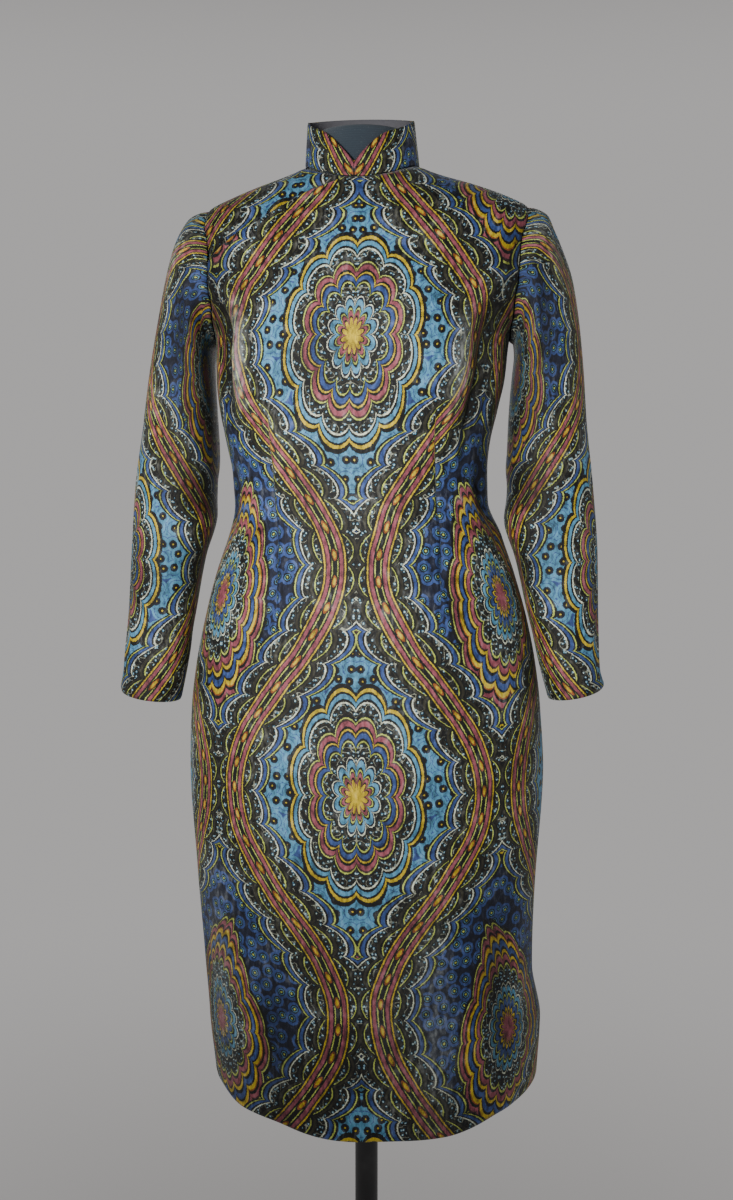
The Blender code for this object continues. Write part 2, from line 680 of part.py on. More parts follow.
def ring_blank(bm, sides, steps):
    """An open tube of unit rings, one a unit above another. Returns its first and last circle."""
    first = bmesh.ops.create_circle(bm, segments=sides, radius=1)["verts"]
    edges = list({edge for vert in first for edge in vert.link_edges})
    last = first
    for _ in range(steps):
        grown = bmesh.ops.extrude_edge_only(bm, edges=edges)["geom"]
        last = [item for item in grown if isinstance(item, bmesh.types.BMVert)]
        edges = [item for item in grown if isinstance(item, bmesh.types.BMEdge)]
        bmesh.ops.translate(bm, verts=last, vec=(0, 0, 1))
    return first, last


def edges_between(verts):
    chosen = set(verts)
    return [edge for edge in {e for v in chosen for e in v.link_edges} if set(edge.verts) <= chosen]


def make_dress():
    front_columns = tuple(-c for c in reversed(FRONT_COLUMNS[1:])) + FRONT_COLUMNS
    back_columns = tuple(-c for c in reversed(BACK_COLUMNS[1:])) + BACK_COLUMNS
    cloth_wall("dress_front", front_columns, CLOTH_ROWS, front_point, "velvet_front")
    cloth_wall("dress_back", back_columns, CLOTH_ROWS, back_point, "velvet_back")
    lap_rows = tuple(row for row in CLOTH_ROWS if row > UNDERLAP_EDGE[0][0])
    cloth_wall("dress_underlap", UNDERLAP_COLUMNS, lap_rows, underlap_point, "velvet_front")
    for name, rows, side in (("sleeve_right", RIGHT_SLEEVE, -1), ("sleeve_left", LEFT_SLEEVE, 1)):
        surface = sleeve_surface(rows, side)

        def shape(turn, ring, layer, surface=surface, side=side):
            return sleeve_point(surface, side, turn, ring, layer)

        turns = tuple(360 / ARMHOLE_STEPS * step for step in range(ARMHOLE_STEPS + 1))
        cloth_wall(name, turns, SLEEVE_RINGS, shape, "velvet_sleeve", closed=True)
    columns = range(-COLLAR_HALF_COLUMNS, COLLAR_HALF_COLUMNS + 1)
    columns = tuple(column / COLLAR_HALF_COLUMNS for column in columns)
    shares = tuple(row / COLLAR_ROWS for row in range(COLLAR_ROWS + 1))
    cloth_wall("collar", columns, shares, collar_point, "velvet_collar")


def make_form():
    shares = [row / FORM_NECK_ROWS for row in range(1, FORM_NECK_ROWS + 1)]
    bm = bmesh.new()
    first, last = ring_blank(bm, FORM_SIDES, len(FORM_ROWS) + len(shares) - 1)
    for end in (first, last):
        bmesh.ops.contextual_create(bm, geom=edges_between(end))
    for vert in bm.verts:
        angle = math.degrees(math.atan2(vert.co.x, -vert.co.y))
        row = round(vert.co.z)
        if row < len(FORM_ROWS):
            vert.co = form_point(angle, FORM_ROWS[row])
        else:
            vert.co = neck_point(angle, shares[row - len(FORM_ROWS)])
    return finish_object("form_torso", bm, "form_cloth")


def make_stand():
    form_bottom = FORM_SECTIONS[0][0]
    length = form_bottom - BASE_THICKNESS - 2 * SEAM_GAP
    bm = bmesh.new()
    bmesh.ops.create_cone(
        bm, cap_ends=True, segments=POST_SIDES, radius1=POST_RADIUS, radius2=POST_RADIUS, depth=length
    )
    bmesh.ops.translate(bm, verts=bm.verts, vec=(0, 0, BASE_THICKNESS + SEAM_GAP + length / 2))
    finish_object("stand_post", bm, "painted_steel")

    bm = bmesh.new()
    bmesh.ops.create_cone(
        bm, cap_ends=True, segments=BASE_SIDES, radius1=BASE_RADIUS, radius2=BASE_RADIUS,
        depth=BASE_THICKNESS,
    )
    bmesh.ops.translate(bm, verts=bm.verts, vec=(0, 0, BASE_THICKNESS / 2))
    rim = [edge for edge in bm.edges if all(v.co.z > BASE_THICKNESS / 2 for v in edge.verts)]
    bmesh.ops.bevel(
        bm, geom=rim, offset=BASE_BEVEL, segments=2, affect="EDGES", profile=0.5, material=-1
    )
    finish_object("stand_base", bm, "painted_steel")


for old in list(bpy.data.objects):
    bpy.data.objects.remove(old)
make_dress()
make_form()
make_stand()
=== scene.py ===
"""Looks of the cheongsam dress and the limbless form it hangs on.

Metres, +Z up. The dress faces -Y and the wearer's right side is at -X. Every cut piece is a thin shell
of cloth on the body surface, read by angle round the body (degrees, 0 at the centre front, 90 at the
wearer's left side, 180 at the centre back) and by level. Table columns whose heads say mm are in
millimetres.
"""

import math

import bmesh
import bpy
import numpy as np
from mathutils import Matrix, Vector


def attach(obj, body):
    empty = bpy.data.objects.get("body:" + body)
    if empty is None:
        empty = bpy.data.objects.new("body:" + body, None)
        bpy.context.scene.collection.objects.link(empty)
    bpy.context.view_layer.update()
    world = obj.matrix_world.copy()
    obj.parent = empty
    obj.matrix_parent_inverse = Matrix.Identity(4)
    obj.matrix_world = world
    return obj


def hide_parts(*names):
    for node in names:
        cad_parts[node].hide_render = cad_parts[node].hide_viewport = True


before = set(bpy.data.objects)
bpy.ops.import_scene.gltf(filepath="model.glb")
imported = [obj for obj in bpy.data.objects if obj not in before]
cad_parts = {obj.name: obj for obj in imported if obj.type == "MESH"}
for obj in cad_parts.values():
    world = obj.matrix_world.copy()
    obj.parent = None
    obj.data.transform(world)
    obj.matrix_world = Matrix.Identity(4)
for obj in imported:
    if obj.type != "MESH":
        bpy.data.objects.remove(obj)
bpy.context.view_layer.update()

# Cloth, seams and tolerances
CLOTH = 0.0009
COLLAR_CLOTH = 0.0018
SEAM_GAP = 0.0003
COLLAR_SEAM_GAP = 0.0003
LAP_GAP = 0.0005
FORM_WALL = 0.0015
EDGE_ROLL = 0.0006
EDGE_ROLL_WIDTH = 0.0032
WELD = 1e-6
TINY_LEVEL = 1e-6
TINY_LENGTH = 1e-12
MILLIMETRES = 1000
# The squareness of a plain oval section
OVAL = 2.0
# What the cloth's pieces carry for their finishes: the place on the flat cloth, and how far it stands out,
# from which the velvet paints highlights on crests and shade in troughs, at turned-in edges and beside the
# arms
FLAT_MAP = "Flat cloth"
PAINTED_LIGHT_RELIEF = "Painted light relief"

# Levels where the cut changes
HEM_LEVEL = 0.460
SLIT_TOP = 0.580
UNDERARM_LEVEL = 1.243
SHOULDER_LEVEL = 1.376
NECK_LEVEL = 1.416

# The body surface: one section a row. The rises are the heights of centre front and back over the sides.
SECTION_COLUMNS = (
    "level mm", "half_width mm", "sway mm", "front mm", "back mm", "squareness", "front_rise mm",
    "back_rise mm",
)
BODY_SECTIONS = (
    (460, 169, 5, 135, 122, 2.25, -13, -9),
    (530, 175.5, 5, 134.5, 125, 2.25, -6, -4),
    (600, 177, 2, 134, 128, 2.25, 0, 0),
    (690, 181.5, 0, 132.5, 131, 2.25, 0, 0),
    (800, 187.6, 0, 130, 133, 2.25, 0, 0),
    (865, 184.5, -1, 126.5, 130, 2.2, 0, 0),
    (910, 179, -1, 123, 124, 2.15, 0, 0),
    (955, 170, -1, 118.5, 115, 2.1, 0, 0),
    (1006, 156, -1.5, 111, 103, 2.1, 0, 0),
    (1045, 142.5, -1.5, 103.5, 93, 2.1, 0, 0),
    (1080, 132, -5.5, 99, 86, 2.1, 0, 0),
    (1110, 132.5, -7, 99, 85, 2.1, 0, 0),
    (1143, 137, -8.8, 104, 89, 2.15, 0, 0),
    (1175, 143.5, -8, 111, 95, 2.2, 0, 0),
    (1205, 148, -6, 116.5, 99, 2.25, 0, 0),
    (1243, 150, -4, 118.5, 102, 2.2, 0, 0),
    (1270, 164, -2, 116, 104, 2.05, -1, 0),
    (1300, 180, -1, 109, 104, 2, -5, 0),
    (1325, 185, 0, 101, 101, 2, -10, 1),
    (1350, 181.5, 0, 92.5, 94, 2, -16, 2),
    (1376, 161, 1.5, 85, 84, 2, -23, 4),
    (1386, 141, 1.5, 80, 77, 2, -23, 6),
    (1397, 112, 0, 74.5, 68, 2, -22, 8),
    (1409, 74.5, -3.5, 68, 56, 2, -21, 9),
    (1416, 58, -4, 63, 45, 2, -20, 14),
)
RISE_POWER = 2.0

# Steps over which a surface's slope is measured: along angle or turn, then along level, ring or share
PLAIN_STEPS = (0.5, 0.002)
CLOTH_STEPS = (0.5, 0.0015)
SLEEVE_STEPS = (2.0, 0.05)
COLLAR_STEPS = (1.0, 0.05)

# Bust shaping, from the darts
BUST = {
    "level": 1.230, "half_distance": 0.072, "projection": 0.0085, "half_height": 0.048,
    "half_width": 0.040,
}

# Large soft folds that hang along the body: a ridge has a positive depth, a trough a negative one. The
# lean is in degrees round the body for each metre up.
FOLD_COLUMNS = ("angle", "half_angle", "low mm", "high mm", "depth mm", "lean")
BODY_FOLDS = (
    (-47, 3.8, 1150, 1310, 6, 10),
    (-57, 4.4, 1130, 1300, -5.6, 12),
    (52, 5, 1090, 1320, -5.8, -8),
    (42, 4.4, 1130, 1300, 3.4, -8),
    (-70, 6, 1020, 1170, -2.5, 30),
    (68, 6, 1010, 1180, -3, -30),
    (-52, 8, 400, 760, 2.5, 0),
    (-30, 7, 380, 700, -2.5, 0),
    (24, 8, 390, 730, 2.2, 0),
    (48, 7, 400, 780, -2.8, 0),
    (128, 6, 1120, 1330, -5, 8),
    (141, 6, 1140, 1320, 3, 8),
    (-126, 6, 1110, 1320, -4.5, -8),
    (-140, 6, 1150, 1330, 3, -8),
    (112, 7, 1010, 1160, -3, 30),
    (-113, 7, 1020, 1170, -2.5, -30),
    (150, 9, 390, 760, 3, 0),
    (-160, 8, 400, 720, -2.8, 0),
    (-132, 9, 380, 780, 3, 0),
)

# Small creases. The tilt is in degrees from upright, towards +angle; the bow is how far a crease's ends
# bend sideways.
CREASE_COLUMNS = ("angle", "level mm", "half_length mm", "half_width mm", "tilt", "depth mm", "bow mm")
BODY_CREASES = (
    # front, from the armholes down to the bust and waist
    (-54, 1262, 50, 5.5, -24, -2.5, 4),
    (-49, 1235, 62, 6.5, -14, 1.6, 3),
    (-62, 1210, 55, 5.5, -10, -2.4, -3),
    (-40, 1190, 70, 8, -6, -1.2, 4),
    (61, 1250, 50, 11, 8, -2.4, 0),
    (-63, 1262, 46, 9, -8, -2.2, 0),
    (57, 1255, 55, 5.5, 22, -2.6, -4),
    (49, 1215, 70, 6.5, 10, 1.6, -3),
    (61, 1180, 60, 6, 6, -2.6, 3),
    (52, 1165, 75, 5.5, 3, -2.4, 3),
    (44, 1150, 60, 6.5, 4, -1.8, 2),
    (36, 1300, 45, 7, 34, -0.8, 3),
    (-34, 1305, 45, 7, -34, -0.7, -3),
    # waist, drawn across
    (-66, 1096, 34, 4, 66, -1.8, 3),
    (-60, 1072, 42, 4.6, 74, 1.3, 4),
    (-48, 1056, 36, 4.8, 80, -1.4, 3),
    (64, 1100, 36, 4, -62, -1.9, -3),
    (58, 1078, 44, 4.6, -72, 1.3, -4),
    (50, 1060, 34, 5, -80, -1.4, -3),
    (-20, 1066, 40, 6, 86, -0.5, 2),
    (16, 1086, 46, 6, -84, -0.5, 2),
    # hips and skirt
    (-33, 975, 60, 7, 12, -1.2, 4),
    (35, 982, 55, 7, -12, -1.2, -4),
    (-66, 905, 70, 8, 16, -1.4, 4),
    (67, 915, 75, 8, -14, -1.5, -4),
    (-14, 610, 110, 13, 2, -0.9, 3),
    (8, 560, 95, 12, -2, 0.9, 2),
    (-64, 600, 120, 11, -3, -1, 3),
    (62, 585, 115, 11, 4, 1, -3),
    (36, 650, 130, 14, 3, -0.8, 4),
    (-40, 540, 75, 10, 5, 0.9, -2),
    # back
    (127, 1258, 55, 5.5, -20, -1.6, 4),
    (136, 1220, 70, 6.5, -8, 1.2, 3),
    (-126, 1252, 55, 5.5, 22, -1.6, -4),
    (-137, 1215, 70, 6.5, 9, 1.2, -3),
    (164, 1330, 50, 10, 76, -0.7, 4),
    (-166, 1318, 56, 10, -80, -0.7, 3),
    (116, 1094, 38, 4.2, 66, -1.2, 4),
    (124, 1072, 46, 4.8, 76, 0.9, 4),
    (-114, 1098, 36, 4.2, -64, -1.2, -4),
    (-123, 1074, 46, 4.8, -75, 0.9, -4),
    (170, 1062, 60, 7, 87, -0.7, 3),
    (-168, 1084, 52, 7, -86, -0.6, 2),
    (150, 960, 70, 8, 14, -0.8, 4),
    (-150, 955, 70, 8, -14, -0.8, -4),
    (166, 590, 115, 13, 2, 1, 3),
    (-145, 600, 120, 12, -3, -1, 3),
    (122, 610, 125, 12, 3, -1, -3),
    (-112, 560, 90, 10, 3, 0.9, 2),
)
METRES_A_DEGREE = 0.0026

# Fish-eye darts, front and back, with the width of cloth that each takes up where it is widest
FRONT_DART = {"low": 0.955, "high": 1.185, "half_distance": 0.0785, "depth": 0.0018, "taken_up": 0.024}
BACK_DART = {"low": 0.930, "high": 1.200, "half_distance": 0.0700, "depth": 0.0016, "taken_up": 0.024}
DART_COLUMN = 0.50
DART_HALF_COLUMN = 0.011
DART_SHARE_LIMIT = 0.62
PUCKER = {"depth": 0.0003, "length": 0.012, "half_column": 0.05}

# The hem hangs a little higher towards the wearer's right side, and dips and rises a little all round.
HEM_LIFT_RIGHT = 0.0090
DIP_COLUMNS = ("angle", "half_angle", "drop mm")
HEM_DIPS = (
    (-78, 9, 1.6), (-61, 7, -1.8), (-47, 6, 1.5), (-30, 8, -1.2), (-12, 9, 1),
    (9, 8, -1), (31, 7, 1.3), (50, 8, -1.6), (70, 8, 1.4), (104, 10, -1.4),
    (128, 9, 1.6), (152, 10, -1.2), (176, 10, 1.2), (-104, 10, -1.6), (-131, 9, 1.4),
    (-157, 9, -1.2),
)
HEM_DIP_REACH = 0.045

# The side slits
SLIT_HALF_WIDTH_AT_HEM = 0.0030
FRONT_FLARE = {"left": 0.0120, "right": 0.0, "degrees": 30.0}
BACK_FLARE = {"left": 0.0100, "right": 0.0040, "degrees": 40.0}
FLARE_RUN = 0.055

# The armholes are ovals, cut round the body surface's sides.
ARMHOLE_MIDDLE = (SHOULDER_LEVEL + UNDERARM_LEVEL) / 2
ARMHOLE_HALF = (SHOULDER_LEVEL - UNDERARM_LEVEL) / 2
ARMHOLE_FRONT_REACH = 0.058
ARMHOLE_BACK_REACH = 0.061
ARMHOLE_SEARCH = {"side": 90.0, "front": 20.0, "back": 160.0, "halvings": 40}

# The flap's edge, from the right armhole to the neck, and the edge of the lap under it
EDGE_COLUMNS = ("level mm", "angle")
FLAP_EDGE = (
    (1309.5, -60.5),
    (1335, -50),
    (1350, -43.5),
    (1366, -38),
    (1379, -34.5),
    (1397, -31),
    (1409, -22),
    (1416, -12),
)
UNDERLAP_EDGE = (
    (1281, -49),
    (1309.5, -41),
    (1335, -33),
    (1350, -29),
    (1366, -25),
    (1379, -22),
    (1397, -16),
    (1409, -8),
    (1416, 0),
)
UNDERLAP_DIP_DEGREES = 5.5
FLAP_EDGE_MARGIN_DEGREES = 3.0
# Levels between which the front's columns turn from following the dart to lying evenly
EVEN_COLUMNS = (1.243, 1.360)

# Cells of the pieces
PANEL_HALF_COLUMNS = 80
COLUMN_DECIMALS = 6
DART_EXTRA_COLUMNS = (-0.012, -0.008, -0.004, 0.004, 0.008, 0.012)
ROW_SPACING = 0.0038
ARMHOLE_ROWS = 38
SHOULDER_ROWS = 16
UNDERLAP_CELLS = 70
SLEEVE_TURNS = 128
SLEEVE_CELLS_A_RING = 15
COLLAR_HALF_COLUMNS = 110
COLLAR_ROWS = 22
FORM_SIDES = 112
FORM_ROW_SPACING = 0.008
FORM_NECK_ROWS = 10
BEVEL_STEPS = 3
SHARP_DEGREES = 40

# Sleeves: how far out each ring's outer and inner edges lie, the heights of those edges, and the ring's
# middle and half depth from front to back. Below the armhole the sleeves differ in the first two and at
# the cuffs alone. The side is the sign of x.
SLEEVE_COLUMNS = (
    "outer_x mm", "inner_x mm", "outer_z mm", "inner_z mm", "middle_y mm", "half_depth mm",
)
SLEEVE_RINGS = (
    (1365.5, 1239, 0, 60.5),
    (1351, 1228, 0, 60.5),
    (1333, 1212, 0, 59),
    (1306, 1190, 1, 57),
    (1268, 1164, 3, 54),
    (1220, 1132, 5, 52),
    (1160, 1100, 5, 50),
    (1095, 1065, 3, 48),
    (1025, 1020, -2, 45.5),
    (965, 965, -10, 42),
    (915, 915, -18, 38),
)
RIGHT_SLEEVE = {
    "side": -1,
    "cuff": (882, 872.5, -26, 35),
    "edges": (
        (181.5, 158.5), (191.5, 160), (198.5, 160), (206.5, 159), (215.5, 157.5), (225.5, 156),
        (234.5, 155.5), (244, 159.5), (248.5, 169), (251, 180), (255, 187), (256, 194.5),
    ),
}
LEFT_SLEEVE = {
    "side": 1,
    "cuff": (891, 879, -26, 35),
    "edges": (
        (183, 151), (190.5, 151.5), (198.5, 150), (208.5, 148), (216, 146.5), (222, 145.5),
        (227, 143), (234.5, 144), (240, 153.5), (241, 168), (242.5, 180), (245, 189.5),
    ),
}
HEAD_FADE_RINGS = 3.0

# Creases across a sleeve: ring and turn of the middle, half sizes, and slant in degrees of turn a ring
SLEEVE_CREASE_COLUMNS = ("ring", "turn", "half_rings", "half_turn", "slant", "depth mm")
SLEEVE_CREASES = (
    (2.6, 130, 1.6, 16, 0, 3),
    (3.6, 98, 1.8, 15, 0, -3),
    (7.4, 20, 0.7, 60, 0, -3),
    (8.3, 30, 0.6, 55, 0, 2.2),
    (9.1, 15, 0.6, 50, 0, -2.5),
    (4, 262, 1.8, 16, 0, -3),
    (1.8, 112, 1, 7, 6, -1.2),
    (2.2, 150, 1.2, 7, -5, -1),
    (2, 208, 1.1, 8, 4, -1),
    (2.4, 244, 1.2, 8, -6, -1.2),
    (4.8, 76, 1.2, 9, -10, -1.2),
    (5.6, 118, 1.3, 10, 8, 1),
    (5.2, 290, 1.2, 10, 9, -1.2),
    (6.6, 60, 0.35, 40, 0, 1.2),
    (7, 330, 0.35, 38, 0, -1.4),
    (7.8, 62, 0.3, 34, 0, -1.2),
    (8, 345, 0.3, 40, 0, 1),
    (8.7, 78, 0.28, 30, 0, -1),
    (8.8, 318, 0.3, 32, 0, -1.2),
    (9.8, 44, 0.28, 34, 0, 0.9),
    (10.4, 330, 0.3, 36, 0, -0.9),
    (9.6, 150, 1.4, 10, 6, -1),
    (10.6, 226, 1.2, 10, -6, -0.9),
)
# The sleeve head's ease: a soft roll and the small gathers under the seam, each grown by the ring given
HEAD_EASE = {"height": 0.0020, "ring": 0.55, "half_rings": 0.55, "half_turn": 75, "grown": 0.30}
HEAD_GATHERS = {"count": 21, "depth": 0.00055, "rings": 1.1, "half_turn": 70, "grown": 0.15}
# Painted shade where the arms lie against the body: on the body beside the armholes, and on the sleeves'
# inner sides
PAINTED_ARM_SHADE = {
    "depth": 0.0040, "degrees": 13.0, "low": 0.98, "high": 1.44, "turn": 80.0, "rings": (5.0, 11.0),
}
# The short vent at each cuff's outer edge: the turn of its line, its length in rings, how far its front
# edge lies over the back one and over what share of it that grows, and how far its corner turns out and up
VENT = {
    "turn": 176, "rings": 0.85, "lap": 0.0012, "lap_share": 3, "step_turn": 5, "flip": 0.0015,
    "rise": 0.0025, "half_turn": 22,
}

# Stand collar
COLLAR_OPENING_ANGLE = -4.0
COLLAR_OPENING_GAP = 0.0006
COLLAR_TOP = {
    "half_width": 0.0540, "sway": -0.0055, "front": 0.0520, "back": 0.0455, "squareness": OVAL,
    "front_rise": -0.0240, "back_rise": 0.0135, "rise_power": 1.15,
}
COLLAR_TOP_LEVEL = 1.4625
COLLAR_END_HEIGHT = 0.0150
COLLAR_CORNER_LENGTH = 0.046
COLLAR_CORNER_POWER = 1.9
COLLAR_COLUMN_POWER = 1.5
COLLAR_ROLL = 0.0006
COLLAR_ROLL_WIDTH = 0.0022

# Dress form: how far its skin lies inside the cloth, and how far its shoulder ends reach
FORM_COLUMNS = ("level mm", "clearance mm", "half_width_limit mm")
FORM_SECTIONS = (
    (700, 30, 200),
    (712, 13, 200),
    (740, 7, 200),
    (800, 5, 200),
    (900, 5, 200),
    (1000, 6, 200),
    (1080, 9, 200),
    (1150, 8, 200),
    (1225, 8, 148),
    (1270, 8, 143),
    (1310, 6.5, 143),
    (1345, 3, 146),
    (1366, 1.4, 150),
    (1376, 1, 148),
    (1386, 0.8, 142),
    (1397, 0.8, 117),
    (1409, 1, 80),
    (1416, 4, 58),
)
FORM_CENTRE_CLEARANCE = 0.0055
FORM_NECK_TOP = 1.449
FORM_NECK = {
    "half_width": 0.0475, "sway": -0.0045, "front": 0.0475, "back": 0.0370, "squareness": OVAL,
    "front_rise": 0.0, "back_rise": 0.0,
}
FORM_RIM = 0.0016
FORM_RIM_SHARES = 9.0
FORM_CAP_SHARES = (1.04, 1.10, 1.30, 1.60, 1.85, 1.96)

# Stand
POST_RADIUS = 0.0125
POST_SIDES = 64
POST_BEVEL = 0.0006
BASE_RADIUS = 0.170
BASE_THICKNESS = 0.010
BASE_SIDES = 128
BASE_BEVEL = 0.0028

# The flat cloth: where the grain turns over the shoulders, and how far each piece's print is shifted
CHEST_LEVEL = 1.300
SLEEVE_MAP_RING = 5
UNDERLAP_PRINT_SHIFT = (0.021, -0.034)
SLEEVE_PRINT_SHIFT = (0.0, 0.22)
COLLAR_PRINT_SHIFT = (0.075, 1.13)

# The print's dyes, as colours on a screen
DYES = {
    "sky": (78, 138, 170), "royal": (50, 74, 130), "navy": (18, 24, 46), "rose": (142, 72, 84),
    "brown": (62, 38, 38), "olive": (44, 42, 30), "mustard": (192, 166, 28), "orange": (142, 78, 26),
    # The grey of the painted sheen, which is no dye of the print
    "lime": (178, 190, 84), "cream": (206, 212, 190), "black": (9, 9, 11), "painted_sheen": (104, 108, 108),
}
# The ogee trellis: half its width, its repeat, a rosette's level, the swing of its lines, and the drawing's
# own small unevenness
OGEE = {
    "column": 0.150, "repeat": 0.44, "middle": 0.80, "swing": 0.054, "stray": 0.0050,
    "stray_noise": (18, 1.0),
}
SCALLOP_POWER = 0.6
ROSETTE = {"squash": 0.62, "petals": 12, "petal_depth": 0.0075}
PAISLEY = {
    "length": 0.11, "start": 0.30, "curl": 0.020, "offset": 0.012, "width": 1.10, "taper": 0.60,
    "tip": 0.16, "squash": 0.52, "drop": 0.016, "petals": 16, "petal_depth": 0.005,
}
FLORET = {"height": 0.168, "petals": 5, "petal_depth": 0.004}
LACE = {"spacing": 0.032, "depth": 0.009}
BEADS = {"spacing": 0.0260, "roundness": 2.4}
# Scattered dots and specks: how many a metre, and how randomly they lie
DOTS = (66, 0.6)
SPECKS = (190, 0.9)
# Dots and specks: where each ring starts, in dot spacings
SPECK_RINGS = ((0, "cream"), (0.10, "sky"), (0.20, "black"), (0.44, "olive"), (0.56, "black"))
SKY_DOTS = (
    (0, "mustard"), (0.06, "black"), (0.20, "navy"), (0.28, "sky"), (0.50, "royal"), (0.54, "sky"),
    (0.70, "royal"),
)
ROYAL_DOTS = (
    (0, "lime"), (0.07, "black"), (0.16, "sky"), (0.20, "black"), (0.28, "royal"), (0.46, "navy"),
)
# Bands of each motif, from its middle out: width in millimetres, dye
ROSETTE_RINGS = (
    (3, "mustard"), (1.4, "black"), (2.6, "rose"), (1.2, "brown"), (1.0, "lime"), (1.6, "black"),
    (4, "sky"), (1.4, "navy"), (1.0, "cream"), (1.8, "black"), (7, "specks"), (1.0, "lime"),
    (1.6, "black"), (3.2, "royal"), (1.4, "navy"), (1.2, "mustard"), (1.8, "black"), (3, "rose"),
    (1.4, "brown"), (1.1, "lime"), (2.0, "black"), (6, "specks"), (1.1, "cream"), (1.8, "black"),
    (2.8, "sky"), (1.6, "black"), (2.2, "mustard"), (3, "black"),
)
PAISLEY_RINGS = (
    (3, "rose"), (1.4, "black"), (1.6, "mustard"), (1.6, "black"), (3.4, "royal"), (1.4, "navy"),
    (1.0, "lime"), (1.6, "black"), (2.6, "sky"), (1.4, "black"), (1.0, "cream"), (1.4, "black"),
    (8, "specks"), (1.1, "lime"), (1.6, "black"), (3.0, "rose"), (1.4, "brown"), (1.8, "mustard"),
    (1.8, "black"), (3.2, "royal"), (1.4, "black"), (2.4, "mustard"), (1.0, "orange"), (1.8, "black"),
    (2.6, "rose"), (1.6, "brown"), (1.1, "lime"), (3, "black"),
)
FLORET_RINGS = (
    (2.6, "lime"), (1.4, "black"), (3.0, "rose"), (1.6, "black"), (1.8, "mustard"), (1.6, "black"),
    (2.6, "sky"), (2.0, "black"),
)
LACE_RINGS = (
    (9, "specks"), (1.0, "lime"), (1.8, "black"), (2.4, "olive"), (1.4, "black"), (6, "specks"),
    (1.2, "cream"), (1.8, "black"), (3.0, "royal"), (1.4, "navy"), (1.2, "lime"), (2.4, "black"),
)
TRELLIS_RINGS = (
    (2.2, "black"), (1.0, "lime"), (1.6, "black"), (3.2, "rose"), (1.4, "brown"), (1.4, "mustard"),
    (2.2, "black"),
)
# The beads along the trellis's lines
BEAD_RINGS = ((1.5, "mustard"), (0.9, "orange"), (1.0, "black"))
# Fine curling lines among the specks: windings a metre, half of a line's share of them, dye
CURLS = {"noise": (105, 0.0), "share": 0.016, "dye": "cream", "strength": 0.40}

# Finishes. A noise is given as its grains a metre, its detail and its roughness.
# The velvet's pile: how far its grain, lay and patches shade, grey, roughen and lift it. The grey is painted
# sheen, with painted highlights on fold crests and painted shade in fold troughs, at turned-in edges and
# beside the arms
PILE = {
    "bleed": 0.0022, "bleed_noise": (700, 2.0), "grain": (1500, 2.0), "grain_shade": 1.2,
    "lay_stretch": (1.0, 0.45, 1.0), "lay": (220, 3.0, 0.6), "lay_shade": 3.4, "patches": (16, 3.0, 0.55),
    "patch_shade": 1.8, "darkest": 0.35, "painted_sheen_grey": 0.04, "crushed_sheen": 2.2, "crushed_sheen_from": 0.52,
    "painted_sheen_limit": 0.62, "crushed_sheen_lay": 0.6, "crushed_sheen_patches": 0.4, "crest": 0.0040, "trough": 0.0032,
    "crest_painted_highlight": 0.35, "crest_painted_grey": 1.1, "trough_painted_shade": 0.70, "roughness": 0.62,
    "roughness_swing": 0.35, "lay_height": 1.6, "bump": 0.0004, "sheen": 0.10, "sheen_roughness": 0.35,
    "sheen_tint": (0.80, 0.86, 0.92, 1.0), "specular": 0.25,
}
REVERSE = {
    "threads": 1400, "slubs": (220, 3.0), "thread_share": 0.5, "slub_share": 0.5, "roughness": 0.78,
    "slub_roughness": 0.15, "bump": 0.0002, "specular": 0.3, "dark": (74, 75, 81),
    "light": (108, 107, 113),
}
JERSEY = {
    "wales": 420, "rows": 900, "stitch_slant": 0.0003, "wear": (14, 4.0), "knit_share": 0.35,
    "wear_share": 0.65, "lint": (900, 1.0), "lint_from": 0.70, "lint_strength": 0.25, "roughness": 0.82,
    "worn_roughness": 0.12, "bump": 0.0003, "sheen": 0.15, "sheen_roughness": 0.6, "specular": 0.25,
    "dark": (31, 40, 50), "light": (60, 74, 86), "lint_colour": (126, 134, 140),
}
STEEL = {
    "peel": (900, 2.0), "dust": (35, 5.0, 0.65), "rub": (8, 3.0), "dust_from": 0.45, "dust_strength": 1.4,
    "roughness": 0.30, "dust_roughness": 0.16, "rub_roughness": 0.12, "bump": 0.00004, "specular": 0.5,
    "black": (18, 18, 20), "dusty": (60, 60, 60),
}

# The studio: a round floor that fades into a background of the same tone as it runs out
STAGE = {
    "radii": (1.0, 2.5, 5.0, 10.0, 20.0), "sides": 96, "fade_from": -1.0, "fade_to": 1.8,
    "colour": (0.84, 0.82, 0.81), "mottle": (3, 3.0), "mottle_shade": 0.98, "roughness": 0.9,
    "specular": 0.1,
}
LIGHT_COLUMNS = ("name", "place", "target", "size", "spread", "watts", "colour")
LIGHTS = (
    ("Key", (-0.6, -2.0, 1.18), (0.0, 0.0, 1.13), 0.4, 38, 3.0, (1.0, 0.98, 0.95)),
    ("Fill", (2.0, -1.5, 1.3), (0.0, 0.0, 1.10), 1.2, 90, 0.5, (0.95, 0.97, 1.0)),
    ("Back", (0.4, 2.2, 1.6), (0.0, 0.0, 1.0), 1.6, 150, 8, (1.0, 0.98, 0.96)),
)
# The background's strength at the horizon and overhead, and the heights (sine of elevation) between
WORLD = {"colour": (1.0, 0.975, 0.965), "horizon": 0.44, "overhead": 0.03, "from": 0.24, "to": 0.60}

CAMERA = {
    "azimuth": 3.75, "pitch": 6.67, "distance": 1.30, "height": 1.128, "focal_pixels": 1240,
    "image_height": 1200, "sensor": 36, "clip_start": 0.05,
}
# The curve between a screen's levels and light
SCREEN_CURVE = {"levels": 255, "straight_to": 0.04045, "slope": 12.92, "offset": 0.055, "power": 2.4}


def records(heads, rows):
    """The rows of a table as records. A length whose head says mm becomes metres."""
    return [
        {
            head.removesuffix(" mm"): value / MILLIMETRES if head.endswith(" mm") else value
            for head, value in zip(heads, row)
        }
        for row in rows
    ]


